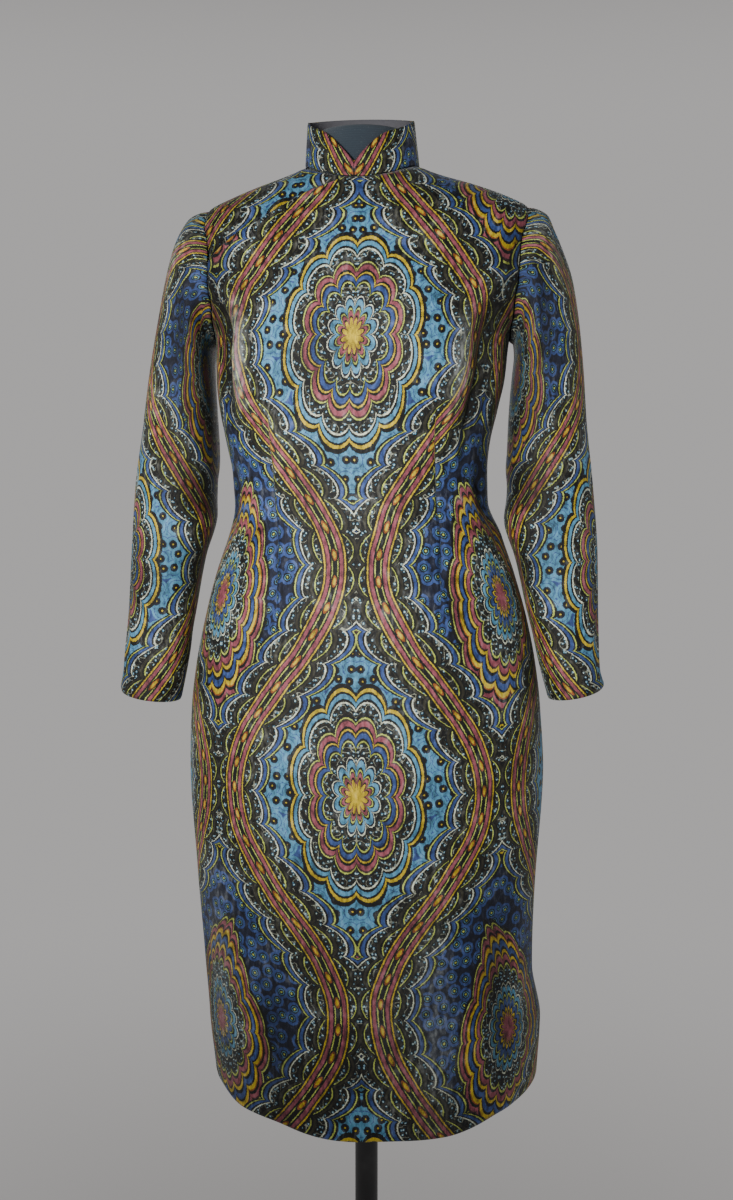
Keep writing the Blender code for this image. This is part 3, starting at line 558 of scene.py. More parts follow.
def smooth_curve(knots, values):
    """A cubic through the values that doesn't overshoot them, level past both ends."""
    knots = np.array(knots, float)
    values = np.array(values, float)
    steps = np.diff(knots)
    slopes = np.diff(values) / steps
    before, after = slopes[:-1], slopes[1:]
    together = before * after
    inner = np.where(together > 0, 2 * together / np.where(together > 0, before + after, 1), 0)
    tangents = np.concatenate(([slopes[0]], inner, [slopes[-1]]))

    def read(place):
        place = np.clip(place, knots[0], knots[-1])
        span = np.clip(np.searchsorted(knots, place, side="left") - 1, 0, len(steps) - 1)
        step = steps[span]
        t = (place - knots[span]) / step
        rise = t * t * (3 - 2 * t)
        ends = values[span] * (1 - rise) + values[span + 1] * rise
        bends = tangents[span] * t * (1 - t) ** 2 - tangents[span + 1] * t * t * (1 - t)
        return ends + bends * step

    return read


def curves_of(rows):
    """One smooth curve for each column after the first, read by the first."""
    first, *others = rows[0]
    knots = [row[first] for row in rows]
    return {name: smooth_curve(knots, [row[name] for row in rows]) for name in others}


def ramp(value, start, end):
    """0 before start, 1 past end, smooth between."""
    t = np.clip((value - start) / (end - start), 0.0, 1.0)
    return t * t * (3 - 2 * t)


def bell(distance, half_size):
    return np.exp(-((distance / half_size) ** 2))


def window(value, low, high):
    """A smooth hump from low to high, 1 in the middle."""
    t = (2 * value - low - high) / (high - low)
    return np.maximum(1 - t * t, 0) ** 2


def sine(degrees):
    return np.sin(np.radians(degrees))


def cosine(degrees):
    return np.cos(np.radians(degrees))


def points(x, y, z):
    return np.stack(np.broadcast_arrays(x, y, z), axis=-1).astype(float)


def unit(vectors):
    return vectors / np.maximum(np.linalg.norm(vectors, axis=-1, keepdims=True), TINY_LENGTH)


def outward(surface, first, second, steps, low, high):
    """The unit normal of a surface read by two coordinates; the second stays between low and high."""
    first_step, second_step = steps
    along_first = surface(first + first_step, second) - surface(first - first_step, second)
    above = np.minimum(second + second_step, high)
    below = np.maximum(second - second_step, low)
    along_second = surface(first, above) - surface(first, below)
    return unit(np.cross(along_first, along_second))


SECTIONS = curves_of(records(SECTION_COLUMNS, BODY_SECTIONS))
FLAP_CURVE = curves_of(records(EDGE_COLUMNS, FLAP_EDGE))["angle"]
FLAP_FOOT = FLAP_EDGE[0][0] / MILLIMETRES
UNDERLAP_CURVE = curves_of(records(EDGE_COLUMNS, UNDERLAP_EDGE))["angle"]
UNDERLAP_FOOT = UNDERLAP_EDGE[0][0] / MILLIMETRES
FORM_CURVES = curves_of(records(FORM_COLUMNS, FORM_SECTIONS))
FORM_FOOT = FORM_SECTIONS[0][0] / MILLIMETRES


def section_at(level):
    return {name: curve(level) for name, curve in SECTIONS.items()}


def on_section(angle, level, section):
    """The point of a rounded section at an angle; its height swings from the sides to front and back."""
    across = sine(angle)
    along = cosine(angle)
    power = section["squareness"]
    reach = (np.abs(across) ** power + np.abs(along) ** power) ** (-1 / power)
    depth = np.where(along > 0, section["front"], section["back"])
    rise = np.where(along > 0, section["front_rise"], section["back_rise"])
    x = section["sway"] + section["half_width"] * reach * across
    height = level + rise * np.abs(along) ** section.get("rise_power", RISE_POWER)
    return points(x, -depth * reach * along, height)


def add_bust(point, angle):
    """The two rounds that the darts shape."""
    for side in (-1, 1):
        across = bell(point[..., 0] - side * BUST["half_distance"], BUST["half_width"])
        height = BUST["projection"] * across * bell(point[..., 2] - BUST["level"], BUST["half_height"])
        point[..., 1] -= np.where(np.abs(angle) < 90, height, 0)
    return point


def plain_point(angle, level, section=None):
    """The body surface without folds."""
    point = on_section(angle, level, section or section_at(level))
    lift = HEM_LIFT_RIGHT * ramp(-sine(angle), 0, 1)
    point[..., 2] += lift * ramp(SLIT_TOP - level, 0, SLIT_TOP - HEM_LEVEL)
    return add_bust(point, angle)


def plain_normal(angle, level):
    return outward(plain_point, angle, level, PLAIN_STEPS, HEM_LEVEL, NECK_LEVEL)


def fold_height(angle, level):
    """How far the large folds and the small creases stand out of the body surface."""
    height = 0.0
    for fold in records(FOLD_COLUMNS, BODY_FOLDS):
        middle = fold["angle"] + fold["lean"] * (level - (fold["low"] + fold["high"]) / 2)
        run = window(level, fold["low"], fold["high"])
        height = height + fold["depth"] * run * bell(angle - middle, fold["half_angle"])
    for crease in records(CREASE_COLUMNS, BODY_CREASES):
        around = (angle - crease["angle"]) * METRES_A_DEGREE
        up = level - crease["level"]
        along = up * cosine(crease["tilt"]) + around * sine(crease["tilt"])
        aside = around * cosine(crease["tilt"]) - up * sine(crease["tilt"])
        aside = aside - crease["bow"] * (along / crease["half_length"]) ** 2
        run = window(along, -crease["half_length"], crease["half_length"])
        height = height + crease["depth"] * run * bell(aside, crease["half_width"])
    return height


def slit_flare(angle, level, flare):
    """Below the slits' tops a panel's side edges stand out a little."""
    below = SLIT_TOP - level
    opened = (ramp(below, 0, FLARE_RUN) + np.maximum(0.0, below) / (SLIT_TOP - HEM_LEVEL)) / 2
    beside = 1 - ramp(np.abs(np.abs(angle) - 90), 0, flare["degrees"])
    reach = np.where(angle > 0, flare["left"], -flare["right"])
    return points(reach * opened * beside, 0, 0)


def hem_dip(angle, level):
    """How far the cloth near the hem hangs below its even line."""
    near_hem = 1 - ramp(level, HEM_LEVEL, HEM_LEVEL + HEM_DIP_REACH)
    dips = records(DIP_COLUMNS, HEM_DIPS)
    return sum(dip["drop"] * bell(angle - dip["angle"], dip["half_angle"]) for dip in dips) * near_hem


def cloth_point(angle, level):
    """The outside of the dress."""
    point = plain_point(angle, level) + plain_normal(angle, level) * fold_height(angle, level)[..., None]
    return point - points(0, 0, hem_dip(angle, level))


def cloth_normal(angle, level):
    return outward(cloth_point, angle, level, CLOTH_STEPS, HEM_LEVEL, NECK_LEVEL)


def armhole_angle(level, facing_front):
    """Where the armhole's oval cuts a level, as degrees from centre front, for the wearer's left."""
    share = np.sqrt(np.maximum(0.0, 1 - ((level - ARMHOLE_MIDDLE) / ARMHOLE_HALF) ** 2))
    reach = np.where(facing_front, ARMHOLE_FRONT_REACH, ARMHOLE_BACK_REACH) * share
    section = section_at(level)
    near = np.full(np.shape(reach), ARMHOLE_SEARCH["side"])
    far = np.where(facing_front, ARMHOLE_SEARCH["front"], ARMHOLE_SEARCH["back"]) + 0.0 * reach
    for _ in range(ARMHOLE_SEARCH["halvings"]):
        between = (near + far) / 2
        inside = np.abs(on_section(between, level, section)[..., 1]) < reach
        near = np.where(inside, between, near)
        far = np.where(inside, far, between)
    return (near + far) / 2


def armhole_place(turn):
    """Angle and level at a turn round the armhole: 0 under the arm, 90 in front, 180 on the shoulder."""
    level = ARMHOLE_MIDDLE - ARMHOLE_HALF * cosine(turn)
    return armhole_angle(level, turn < 180), level


def side_edge(level, facing_front):
    """Where a front or back panel ends, as degrees from centre front, for the wearer's left."""
    depth = SECTIONS["front" if facing_front else "back"](level)
    opened = np.maximum(0.0, (SLIT_TOP - level) / (SLIT_TOP - HEM_LEVEL))
    away = SEAM_GAP / 2 + SLIT_HALF_WIDTH_AT_HEM * opened
    seam = 90 + (-1 if facing_front else 1) * np.degrees(away / depth)
    at_armhole = (level > UNDERARM_LEVEL) & (level < SHOULDER_LEVEL)
    return np.where(at_armhole, armhole_angle(level, facing_front), seam)


def dart_depth(column, level, dart):
    """The pinched line of a fish-eye dart and the small pulls at its two points."""
    aside = np.abs(column) - DART_COLUMN
    line = dart["depth"] * bell(aside, DART_HALF_COLUMN) * window(level, dart["low"], dart["high"])
    ends = bell(level - dart["low"], PUCKER["length"]) + bell(level - dart["high"], PUCKER["length"])
    return line + PUCKER["depth"] * ends * bell(aside, PUCKER["half_column"])


def dart_take_up(column, level, dart):
    """How much cloth a dart hides between a point and the panel's middle, which breaks the print there."""
    outside = np.abs(column) > DART_COLUMN + TINY_LEVEL
    return np.copysign(dart["taken_up"] * outside * window(level, dart["low"], dart["high"]), column)


def column_angle(column, level, edge, dart):
    """A column's angle from the panel's centre: the dart's column keeps its distance from it."""
    share = np.minimum(dart["half_distance"] / SECTIONS["half_width"](level), DART_SHARE_LIMIT)
    dart_angle = np.degrees(np.arcsin(share))
    dart_angle = dart_angle + (edge * DART_COLUMN - dart_angle) * ramp(level, BUST["level"], SHOULDER_LEVEL)
    size = np.abs(column)
    inner = dart_angle * size / DART_COLUMN
    outer = dart_angle + (edge - dart_angle) * (size - DART_COLUMN) / (1 - DART_COLUMN)
    return np.copysign(np.where(size <= DART_COLUMN, inner, outer), column)


def front_place(column, level):
    """Angle on the front panel. On the right its edge is the side seam, the armhole, then the flap's edge."""
    edge = side_edge(level, True)
    angle = column_angle(column, level, edge, FRONT_DART)
    start = np.where(level < FLAP_FOOT + TINY_LEVEL, -edge, FLAP_CURVE(level))
    evenly = start + (edge - start) * (column + 1) / 2
    held = np.where(column > 0, angle, angle * start / -edge)
    lapped = held + (evenly - held) * ramp(level, *EVEN_COLUMNS)
    return np.where(level < FLAP_FOOT - TINY_LEVEL, angle, lapped)


def back_place(column, level):
    """A column of 1 is at the wearer's right, so that the panel faces out."""
    angle = column_angle(column, level, 180 - side_edge(level, False), BACK_DART)
    return np.copysign(180 - np.abs(angle), np.where(column == 0, 1, -column))


def underlap_place(column, level):
    """The small right front: columns 0 to 1 show beside the flap, 1 to 2 lie under it."""
    edge = -side_edge(level, True)
    last = UNDERLAP_CURVE(level)
    sunk_from = FLAP_CURVE(level) - FLAP_EDGE_MARGIN_DEGREES
    shown = edge + (sunk_from - edge) * column
    hidden = sunk_from + (last - sunk_from) * (column - 1)
    evenly = edge + (last - edge) * column / 2
    beside_flap = np.where(column <= 1, shown, hidden)
    angle = evenly + (beside_flap - evenly) * ramp(level, FLAP_FOOT, EVEN_COLUMNS[1])
    dip = ramp(angle, sunk_from - UNDERLAP_DIP_DEGREES, sunk_from)
    return angle, np.where(level < FLAP_FOOT + TINY_LEVEL, 1.0, dip)


def along_rows(point):
    """Distance along each row, from its first point."""
    steps = np.linalg.norm(np.diff(point, axis=1), axis=-1)
    return np.concatenate((np.zeros((len(point), 1)), np.cumsum(steps, axis=1)), axis=1)


def painted_shade_beside_arm(angle, level):
    """How much painted shade darkens the cloth beside the armholes, as a depth."""
    size = np.abs(angle)
    edge = armhole_angle(np.clip(level, UNDERARM_LEVEL, SHOULDER_LEVEL), size < 90)
    reach = bell(np.maximum(np.abs(size - 90) - np.abs(edge - 90), 0), PAINTED_ARM_SHADE["degrees"])
    return PAINTED_ARM_SHADE["depth"] * reach * window(level, PAINTED_ARM_SHADE["low"], PAINTED_ARM_SHADE["high"])


def from_ends(along):
    """Distance from the nearer end of each row."""
    return np.minimum(along, along[:, -1:] - along)


def rolled_in(distance, roll=EDGE_ROLL, width=EDGE_ROLL_WIDTH):
    """How deep a cut edge is turned in beside its seam."""
    return roll * (1 - ramp(distance, 0, width)) ** 2


def lay_panel(angle, level, inset):
    """The outside of a panel, with its edges turned in, the distance along its rows, and its relief for
    painted highlights and shade.
    """
    normal = cloth_normal(angle, level)
    flare = BACK_FLARE if np.mean(np.abs(angle)) > 90 else FRONT_FLARE
    base = cloth_point(angle, level) + slit_flare(angle, level, flare)
    along = along_rows(base)
    ends = np.minimum(*(np.linalg.norm(base - row, axis=-1) for row in (base[:1], base[-1:])))
    depth = inset + rolled_in(np.minimum(from_ends(along), ends))
    # The relief sinks at the turned-in edges and beside the arms, which paints shade there in the velvet
    relief = fold_height(angle, level) - depth - painted_shade_beside_arm(angle, level)
    return base - normal * depth[..., None], along, relief


def flat_map(point, along, level, zero):
    """The place of each point on the flat cloth, in metres from the panel's middle line and the floor.

    Up to the chest the grain runs level; above it, it runs on up and over the shoulder.
    """
    across = along - zero
    row = int(np.argmin(np.abs(level[:, 0] - CHEST_LEVEL)))
    order = np.argsort(point[row, :, 0])
    x = point[row, order, 0]
    past_end = point[..., 0] - np.clip(point[..., 0], x[0], x[-1])
    grain_way = np.sign(across[row, order[-1]] - across[row, order[0]])
    over_x = np.interp(point[..., 0], x, across[row, order]) + past_end * grain_way
    y = np.interp(point[..., 0], x, point[row, order, 1])
    z = np.interp(point[..., 0], x, point[row, order, 2])
    climb = np.hypot(point[..., 2] - z, point[..., 1] - y)
    over = np.arange(len(point))[:, None] > row
    return np.stack((np.where(over, over_x, across), np.where(over, CHEST_LEVEL + climb, level)), -1)


def spaced(low, high, spacing):
    return np.linspace(low, high, max(2, round((high - low) / spacing) + 1))


def panel_rows(low):
    """The levels of a panel's rows, closer together at the foot and top of the armhole."""
    slits = spaced(HEM_LEVEL, SLIT_TOP, ROW_SPACING)
    sides = spaced(SLIT_TOP, UNDERARM_LEVEL, ROW_SPACING)
    climb = (1 - np.cos(np.linspace(0, math.pi, ARMHOLE_ROWS + 1))) / 2
    armhole = UNDERARM_LEVEL + (SHOULDER_LEVEL - UNDERARM_LEVEL) * climb
    shoulder = np.linspace(SHOULDER_LEVEL, NECK_LEVEL, SHOULDER_ROWS + 1)
    rows = np.concatenate((slits, sides[1:], armhole[1:], shoulder[1:]))
    return rows[rows > low - TINY_LEVEL]


def panel_columns():
    """Even columns from -1 to 1, with more of them along the darts."""
    even = np.linspace(-1, 1, 2 * PANEL_HALF_COLUMNS + 1)
    extra = [side * (DART_COLUMN + step) for side in (-1, 1) for step in DART_EXTRA_COLUMNS]
    return np.unique(np.round(np.concatenate((even, extra)), COLUMN_DECIMALS))


def cloth_shell(node, point, flat, relief, skins, closed=False, thickness=CLOTH):
    """A grid laid on its points, with the flat cloth as its UV map and its thickness inwards."""
    count_rows, count_columns = point.shape[:2]
    bm = bmesh.new()
    bmesh.ops.create_grid(bm, x_segments=count_columns - 1, y_segments=count_rows - 1, size=1)
    layer = bm.loops.layers.uv.new(FLAT_MAP)
    # Each point's relief, from which the velvet paints highlights and shade
    height = bm.verts.layers.float.new(PAINTED_LIGHT_RELIEF)
    cell = {}
    for vert in bm.verts:
        column = round((vert.co.x + 1) / 2 * (count_columns - 1))
        row = round((vert.co.y + 1) / 2 * (count_rows - 1))
        cell[vert] = (row, column)
        vert.co = point[row, column]
        vert[height] = relief[row, column]
    for face in bm.faces:
        for loop in face.loops:
            loop[layer].uv = flat[cell[loop.vert]]
    if closed:
        bmesh.ops.remove_doubles(bm, verts=bm.verts, dist=WELD)
    piece = make_object(node + "_cloth", bm, *skins)
    shell = piece.modifiers.new("Thickness", "SOLIDIFY")
    shell.thickness = thickness
    shell.offset = -1
    shell.use_rim = True
    shell.material_offset = 1
    shell.material_offset_rim = 0
    return piece


def placed(name, data):
    """A new object in the scene that shows a mesh, a lamp or a camera."""
    thing = bpy.data.objects.new(name, data)
    bpy.context.scene.collection.objects.link(thing)
    return thing


def make_object(name, bm, *skins):
    mesh = bpy.data.meshes.new(name)
    bm.to_mesh(mesh)
    bm.free()
    mesh.shade_smooth()
    for skin in skins:
        mesh.materials.append(skin)
    return placed(name, mesh)


def make_panel(node, place, columns, rows, dart, skins):
    """The front or the back, with its print set out from the centre line."""
    column, level = np.meshgrid(columns, rows)
    angle = place(column, level)
    point, along, relief = lay_panel(angle, level, dart_depth(column, level, dart))
    if place is front_place:
        zero = middle_along(angle, along)
    else:
        zero = along[np.arange(len(rows)), np.argmin(np.abs(column), axis=1)][:, None]
    flat = flat_map(point, along, level, zero)
    flat[..., 0] += dart_take_up(column, level, dart)
    return cloth_shell(node, point, flat, relief, skins)


def middle_along(angle, along):
    """The distance along each row at which the centre front lies."""
    return np.array([np.interp(0.0, row, steps) for row, steps in zip(angle, along)])[:, None]


def make_underlap(skins):
    columns = np.linspace(0, 2, UNDERLAP_CELLS + 1)
    column, level = np.meshgrid(columns, panel_rows(UNDERLAP_FOOT))
    angle, dip = underlap_place(column, level)
    point, along, relief = lay_panel(angle, level, (CLOTH + LAP_GAP) * dip)
    zero = along[:, -1:] + np.radians(-angle[:, -1:]) * SECTIONS["front"](level[:, -1:])
    flat = flat_map(point, along, level, zero) + UNDERLAP_PRINT_SHIFT
    return cloth_shell("dress_underlap", point, flat, relief, skins)


def sleeve_surface(sleeve):
    """The outside of a sleeve, read by turn round it and by ring from the armhole down."""
    side = sleeve["side"]

    def armhole_point(turn):
        angle, level = armhole_place(turn % 360)
        return cloth_point(side * angle, level) + points(side * SEAM_GAP, 0, 0)

    under = armhole_point(np.array(0.0))
    over = armhole_point(np.array(180.0))
    reach = (ARMHOLE_FRONT_REACH + ARMHOLE_BACK_REACH) / 2
    head = {
        "outer_x": abs(over[0]), "inner_x": abs(under[0]), "outer_z": over[2], "inner_z": under[2],
        "middle_y": (over[1] + under[1]) / 2, "half_depth": reach,
    }
    rings = zip(sleeve["edges"], (*SLEEVE_RINGS, sleeve["cuff"]))
    below = records(SLEEVE_COLUMNS, [(*edges, *ring) for edges, ring in rings])
    curves = curves_of([{"ring": ring, **row} for ring, row in enumerate((head, *below))])

    def plain_ring(turn, ring):
        size = {name: curve(ring) for name, curve in curves.items()}
        up = -cosine(turn)
        edges = ((size["outer_" + axis], size["inner_" + axis]) for axis in "xz")
        x, z = ((outer + inner) / 2 + (outer - inner) / 2 * up for outer, inner in edges)
        return points(side * x, size["middle_y"] - size["half_depth"] * sine(turn), z)

    def surface(turn, ring):
        fitted = armhole_point(turn) - plain_ring(turn, 0 * ring)
        return plain_ring(turn, ring) + fitted * (1 - ramp(ring, 0, HEAD_FADE_RINGS))[..., None]

    return surface


def within_half_turn(turn):
    """The same turn between -180 and 180 degrees."""
    return (turn + 180) % 360 - 180


def sleeve_relief(turn, ring):
    """Creases, the eased roll of the sleeve head and its small gathers."""
    height = 0.0
    for crease in records(SLEEVE_CREASE_COLUMNS, SLEEVE_CREASES):
        from_middle = turn - crease["turn"] - crease["slant"] * (ring - crease["ring"])
        beside = bell(within_half_turn(from_middle), crease["half_turn"])
        here = bell(ring - crease["ring"], crease["half_rings"]) * beside
        height = height + crease["depth"] * here
    height = height * ramp(ring, 0, 1)
    from_top = turn - 180
    ease, pleats = HEAD_EASE, HEAD_GATHERS
    roll = bell(ring - ease["ring"], ease["half_rings"]) * bell(from_top, ease["half_turn"])
    gathers = cosine(from_top * pleats["count"]) * bell(from_top, pleats["half_turn"])
    gathers = gathers * ramp(ring, 0, pleats["grown"]) * (1 - ramp(ring, pleats["grown"], pleats["rings"]))
    return height + ease["height"] * roll * ramp(ring, 0, ease["grown"]) + pleats["depth"] * gathers


def painted_shade_beside_body(turn, ring):
    """How much painted shade darkens the side of a sleeve that lies by the body, as a depth."""
    reach = bell(within_half_turn(turn), PAINTED_ARM_SHADE["turn"])
    return PAINTED_ARM_SHADE["depth"] * reach * (1 - ramp(ring, *PAINTED_ARM_SHADE["rings"]))


def vent_place(turn, ring, last_ring):
    """How far the cloth by a cuff's vent lies out, and how far its corner is drawn up."""
    down = ramp(ring, last_ring - VENT["rings"], last_ring)
    front = VENT["turn"] - turn
    step = ramp(front, -VENT["step_turn"] / 2, VENT["step_turn"] / 2) - 0.5
    beside = np.exp(-np.abs(front) / VENT["half_turn"])
    lap = VENT["lap"] * step * beside * np.minimum(VENT["lap_share"] * down, 1)
    corner = beside * down ** 2
    return lap + VENT["flip"] * corner * (step + 0.5), VENT["rise"] * corner


def make_sleeve(node, sleeve, skins):
    side = sleeve["side"]
    surface = sleeve_surface(sleeve)
    last_ring = len(sleeve["edges"])
    turns = np.linspace(0, 360, SLEEVE_TURNS + 1)[:: -side]
    rings = np.linspace(0, last_ring, SLEEVE_CELLS_A_RING * last_ring + 1)
    turn, ring = np.meshgrid(turns, rings)
    normal = outward(surface, turn, ring, SLEEVE_STEPS, 0, last_ring) * -side
    base = surface(turn, ring)
    down = along_rows(base.transpose(1, 0, 2)).T
    depth = np.maximum(rolled_in(down), rolled_in(down[-1:] - down))
    vent_out, vent_up = vent_place(turn, ring, last_ring)
    relief = sleeve_relief(turn, ring) - depth
    point = base + normal * (relief + vent_out)[..., None]
    point = point + points(0, 0, vent_up)
    point[:, -1] = point[:, 0]
    round_it = along_rows(point)
    top = round_it[:, turns.tolist().index(180.0)][:, None]
    anchor = SLEEVE_MAP_RING * SLEEVE_CELLS_A_RING
    height = point[anchor, :, 2] - (down - down[anchor])
    flat = np.stack((round_it - top, height), -1) + SLEEVE_PRINT_SHIFT
    # The sleeve's relief paints highlights on its creases and shade in its hollows, at its rolled edges and
    # on its side by the body
    return cloth_shell(node, point, flat, relief - painted_shade_beside_body(turn, ring), skins, closed=True)


def collar_band(angle, share):
    """The outside of the collar, from the neck seam at share 0 to its top line at share 1."""
    angle = within_half_turn(angle)
    base = on_section(angle, NECK_LEVEL, section_at(np.array(NECK_LEVEL)))
    base = base + points(0, 0, COLLAR_SEAM_GAP)
    top = on_section(angle, COLLAR_TOP_LEVEL, COLLAR_TOP)
    return base + (top - base) * np.asarray(share)[..., None]


def make_collar(skins):
    """The stand collar's band, from its left front end round the back to the right one."""
    front = SECTIONS["front"](NECK_LEVEL)
    columns = np.linspace(1, -1, 2 * COLLAR_HALF_COLUMNS + 1)
    column, share = np.meshgrid(columns, np.linspace(0, 1, COLLAR_ROWS + 1))
    opening = math.degrees(COLLAR_OPENING_GAP / 2 / front)
    turn = opening + (180 - opening) * (1 - np.abs(column)) ** COLLAR_COLUMN_POWER
    angle = COLLAR_OPENING_ANGLE + np.copysign(turn, column)
    full_height = np.linalg.norm(collar_band(angle, 1 + 0 * share) - collar_band(angle, 0 * share), axis=-1)
    away = np.radians(turn) * front
    corner = np.maximum(0.0, 1 - away / COLLAR_CORNER_LENGTH) ** COLLAR_CORNER_POWER
    height = full_height - (full_height - COLLAR_END_HEIGHT) * corner
    place = share * height / full_height
    normal = outward(collar_band, angle, place, COLLAR_STEPS, 0, 1)
    base = collar_band(angle, place)
    edge = np.minimum(from_ends(along_rows(base)), np.minimum(share, 1 - share) * height)
    depth = rolled_in(edge, COLLAR_ROLL, COLLAR_ROLL_WIDTH)
    point = base - normal * depth[..., None]
    flat = np.stack((np.abs(away), share * height), -1) + COLLAR_PRINT_SHIFT
    # The collar's relief paints shade along its turned-in edges
    return cloth_shell("collar", point, flat, -depth, skins, thickness=COLLAR_CLOTH)


def form_point(angle, level):
    """The form's skin, inside the cloth."""
    def ring(place, height):
        local = section_at(height)
        limit = FORM_CURVES["half_width_limit"](height) + FORM_WALL
        local["half_width"] = np.minimum(local["half_width"], limit)
        return plain_point(place, height, local)

    normal = outward(ring, angle, level, PLAIN_STEPS, HEM_LEVEL, NECK_LEVEL)
    inset = FORM_WALL + FORM_CURVES["clearance"](level) + FORM_CENTRE_CLEARANCE * cosine(angle) ** 2
    return ring(angle, level) - normal * inset[..., None]


def form_neck_point(angle, share):
    """The form's neck, from the top of its shoulders to its flat top, with a rounded rim."""
    root = form_point(angle, np.full(np.shape(angle), NECK_LEVEL))
    top = on_section(angle, FORM_NECK_TOP, FORM_NECK)
    point = root + (top - root) * np.minimum(share, 1)[..., None]
    middle = points(FORM_NECK["sway"], (FORM_NECK["back"] - FORM_NECK["front"]) / 2, FORM_NECK_TOP)
    over = np.maximum(share - 1, 0)[..., None]
    point = point + (middle - point) * over
    near_rim = FORM_RIM * (1 - np.clip(np.abs(share - 1) * FORM_RIM_SHARES, 0, 1)) ** 2
    return point - points(0, 0, 1) * near_rim[..., None]


def make_form(skin):
    """The limbless form: a ring of edges, extruded up row by row and then closed at both ends."""
    rows = spaced(FORM_FOOT, NECK_LEVEL, FORM_ROW_SPACING)
    shares = np.concatenate((np.linspace(0, 1, FORM_NECK_ROWS + 1)[1:], FORM_CAP_SHARES))
    bm = bmesh.new()
    bmesh.ops.create_circle(bm, segments=FORM_SIDES, radius=1)
    edges = bottom = bm.edges[:]
    for _ in range(len(rows) + len(shares) - 1):
        grown = bmesh.ops.extrude_edge_only(bm, edges=edges)["geom"]
        edges = [item for item in grown if isinstance(item, bmesh.types.BMEdge)]
        rim = [item for item in grown if isinstance(item, bmesh.types.BMVert)]
        bmesh.ops.translate(bm, verts=rim, vec=(0, 0, 1))
    bmesh.ops.contextual_create(bm, geom=bottom)
    bmesh.ops.contextual_create(bm, geom=edges)
    bm.verts.ensure_lookup_table()
    angle = np.array([math.degrees(math.atan2(vert.co.x, -vert.co.y)) for vert in bm.verts])
    row = np.array([round(vert.co.z) for vert in bm.verts])
    on_body = row < len(rows)
    body = form_point(angle, rows[np.minimum(row, len(rows) - 1)])
    neck = form_neck_point(angle, shares[np.maximum(row - len(rows), 0)])
    for vert, place in zip(bm.verts, np.where(on_body[:, None], body, neck)):
        vert.co = place
    bmesh.ops.recalc_face_normals(bm, faces=bm.faces)
    return make_object("form_skin", bm, skin)


def make_round(name, radius, low, high, sides, bevel, skin):
    """A round bar or plate with softened rims."""
    bm = bmesh.new()
    bmesh.ops.create_cone(bm, cap_ends=True, segments=sides, radius1=radius, radius2=radius, depth=high - low)
    bmesh.ops.translate(bm, verts=bm.verts, vec=(0, 0, (low + high) / 2))
    rims = [edge for edge in bm.edges if abs(edge.verts[0].co.z - edge.verts[1].co.z) < WELD]
    bmesh.ops.bevel(
        bm, geom=rims, offset=bevel, segments=BEVEL_STEPS, affect="EDGES", profile=0.5, material=-1,
    )
    piece = make_object(name, bm, skin)
    piece.data.set_sharp_from_angle(angle=math.radians(SHARP_DEGREES))
    return piece


def light_of(colour):
    """A colour given as on a screen, as light."""
    share = np.array(colour) / SCREEN_CURVE["levels"]
    offset = SCREEN_CURVE["offset"]
    curved = ((share + offset) / (1 + offset)) ** SCREEN_CURVE["power"]
    light = np.where(share <= SCREEN_CURVE["straight_to"], share / SCREEN_CURVE["slope"], curved)
    return (*light.tolist(), 1.0)


def math_node(operation, reflected=False):
    """A method of Value that adds a Math node."""
    def method(self, *others):
        operands = (*others, self) if reflected else (self, *others)
        return self.finish.node("ShaderNodeMath", {"operation": operation}, dict(enumerate(operands)))

    return method


class Value:
    """A socket of a finish. Arithmetic and comparisons on it add Math nodes."""

    def __init__(self, finish, socket):
        self.finish = finish
        self.socket = socket

    __add__ = __radd__ = math_node("ADD")
    __sub__ = math_node("SUBTRACT")
    __rsub__ = math_node("SUBTRACT", reflected=True)
    __mul__ = __rmul__ = math_node("MULTIPLY")
    __truediv__ = math_node("DIVIDE")
    __rtruediv__ = math_node("DIVIDE", reflected=True)
    __pow__ = math_node("POWER")
    __rpow__ = math_node("POWER", reflected=True)
    __mod__ = math_node("FLOORED_MODULO")
    __rmod__ = math_node("FLOORED_MODULO", reflected=True)
    __gt__ = math_node("GREATER_THAN")
    __lt__ = math_node("LESS_THAN")
    __abs__ = math_node("ABSOLUTE")
    sine = math_node("SINE")
    cosine = math_node("COSINE")
    root = math_node("SQRT")
    least = math_node("MINIMUM")
    most = math_node("MAXIMUM")
    turn_from = math_node("ARCTAN2")
    there_and_back = math_node("PINGPONG")


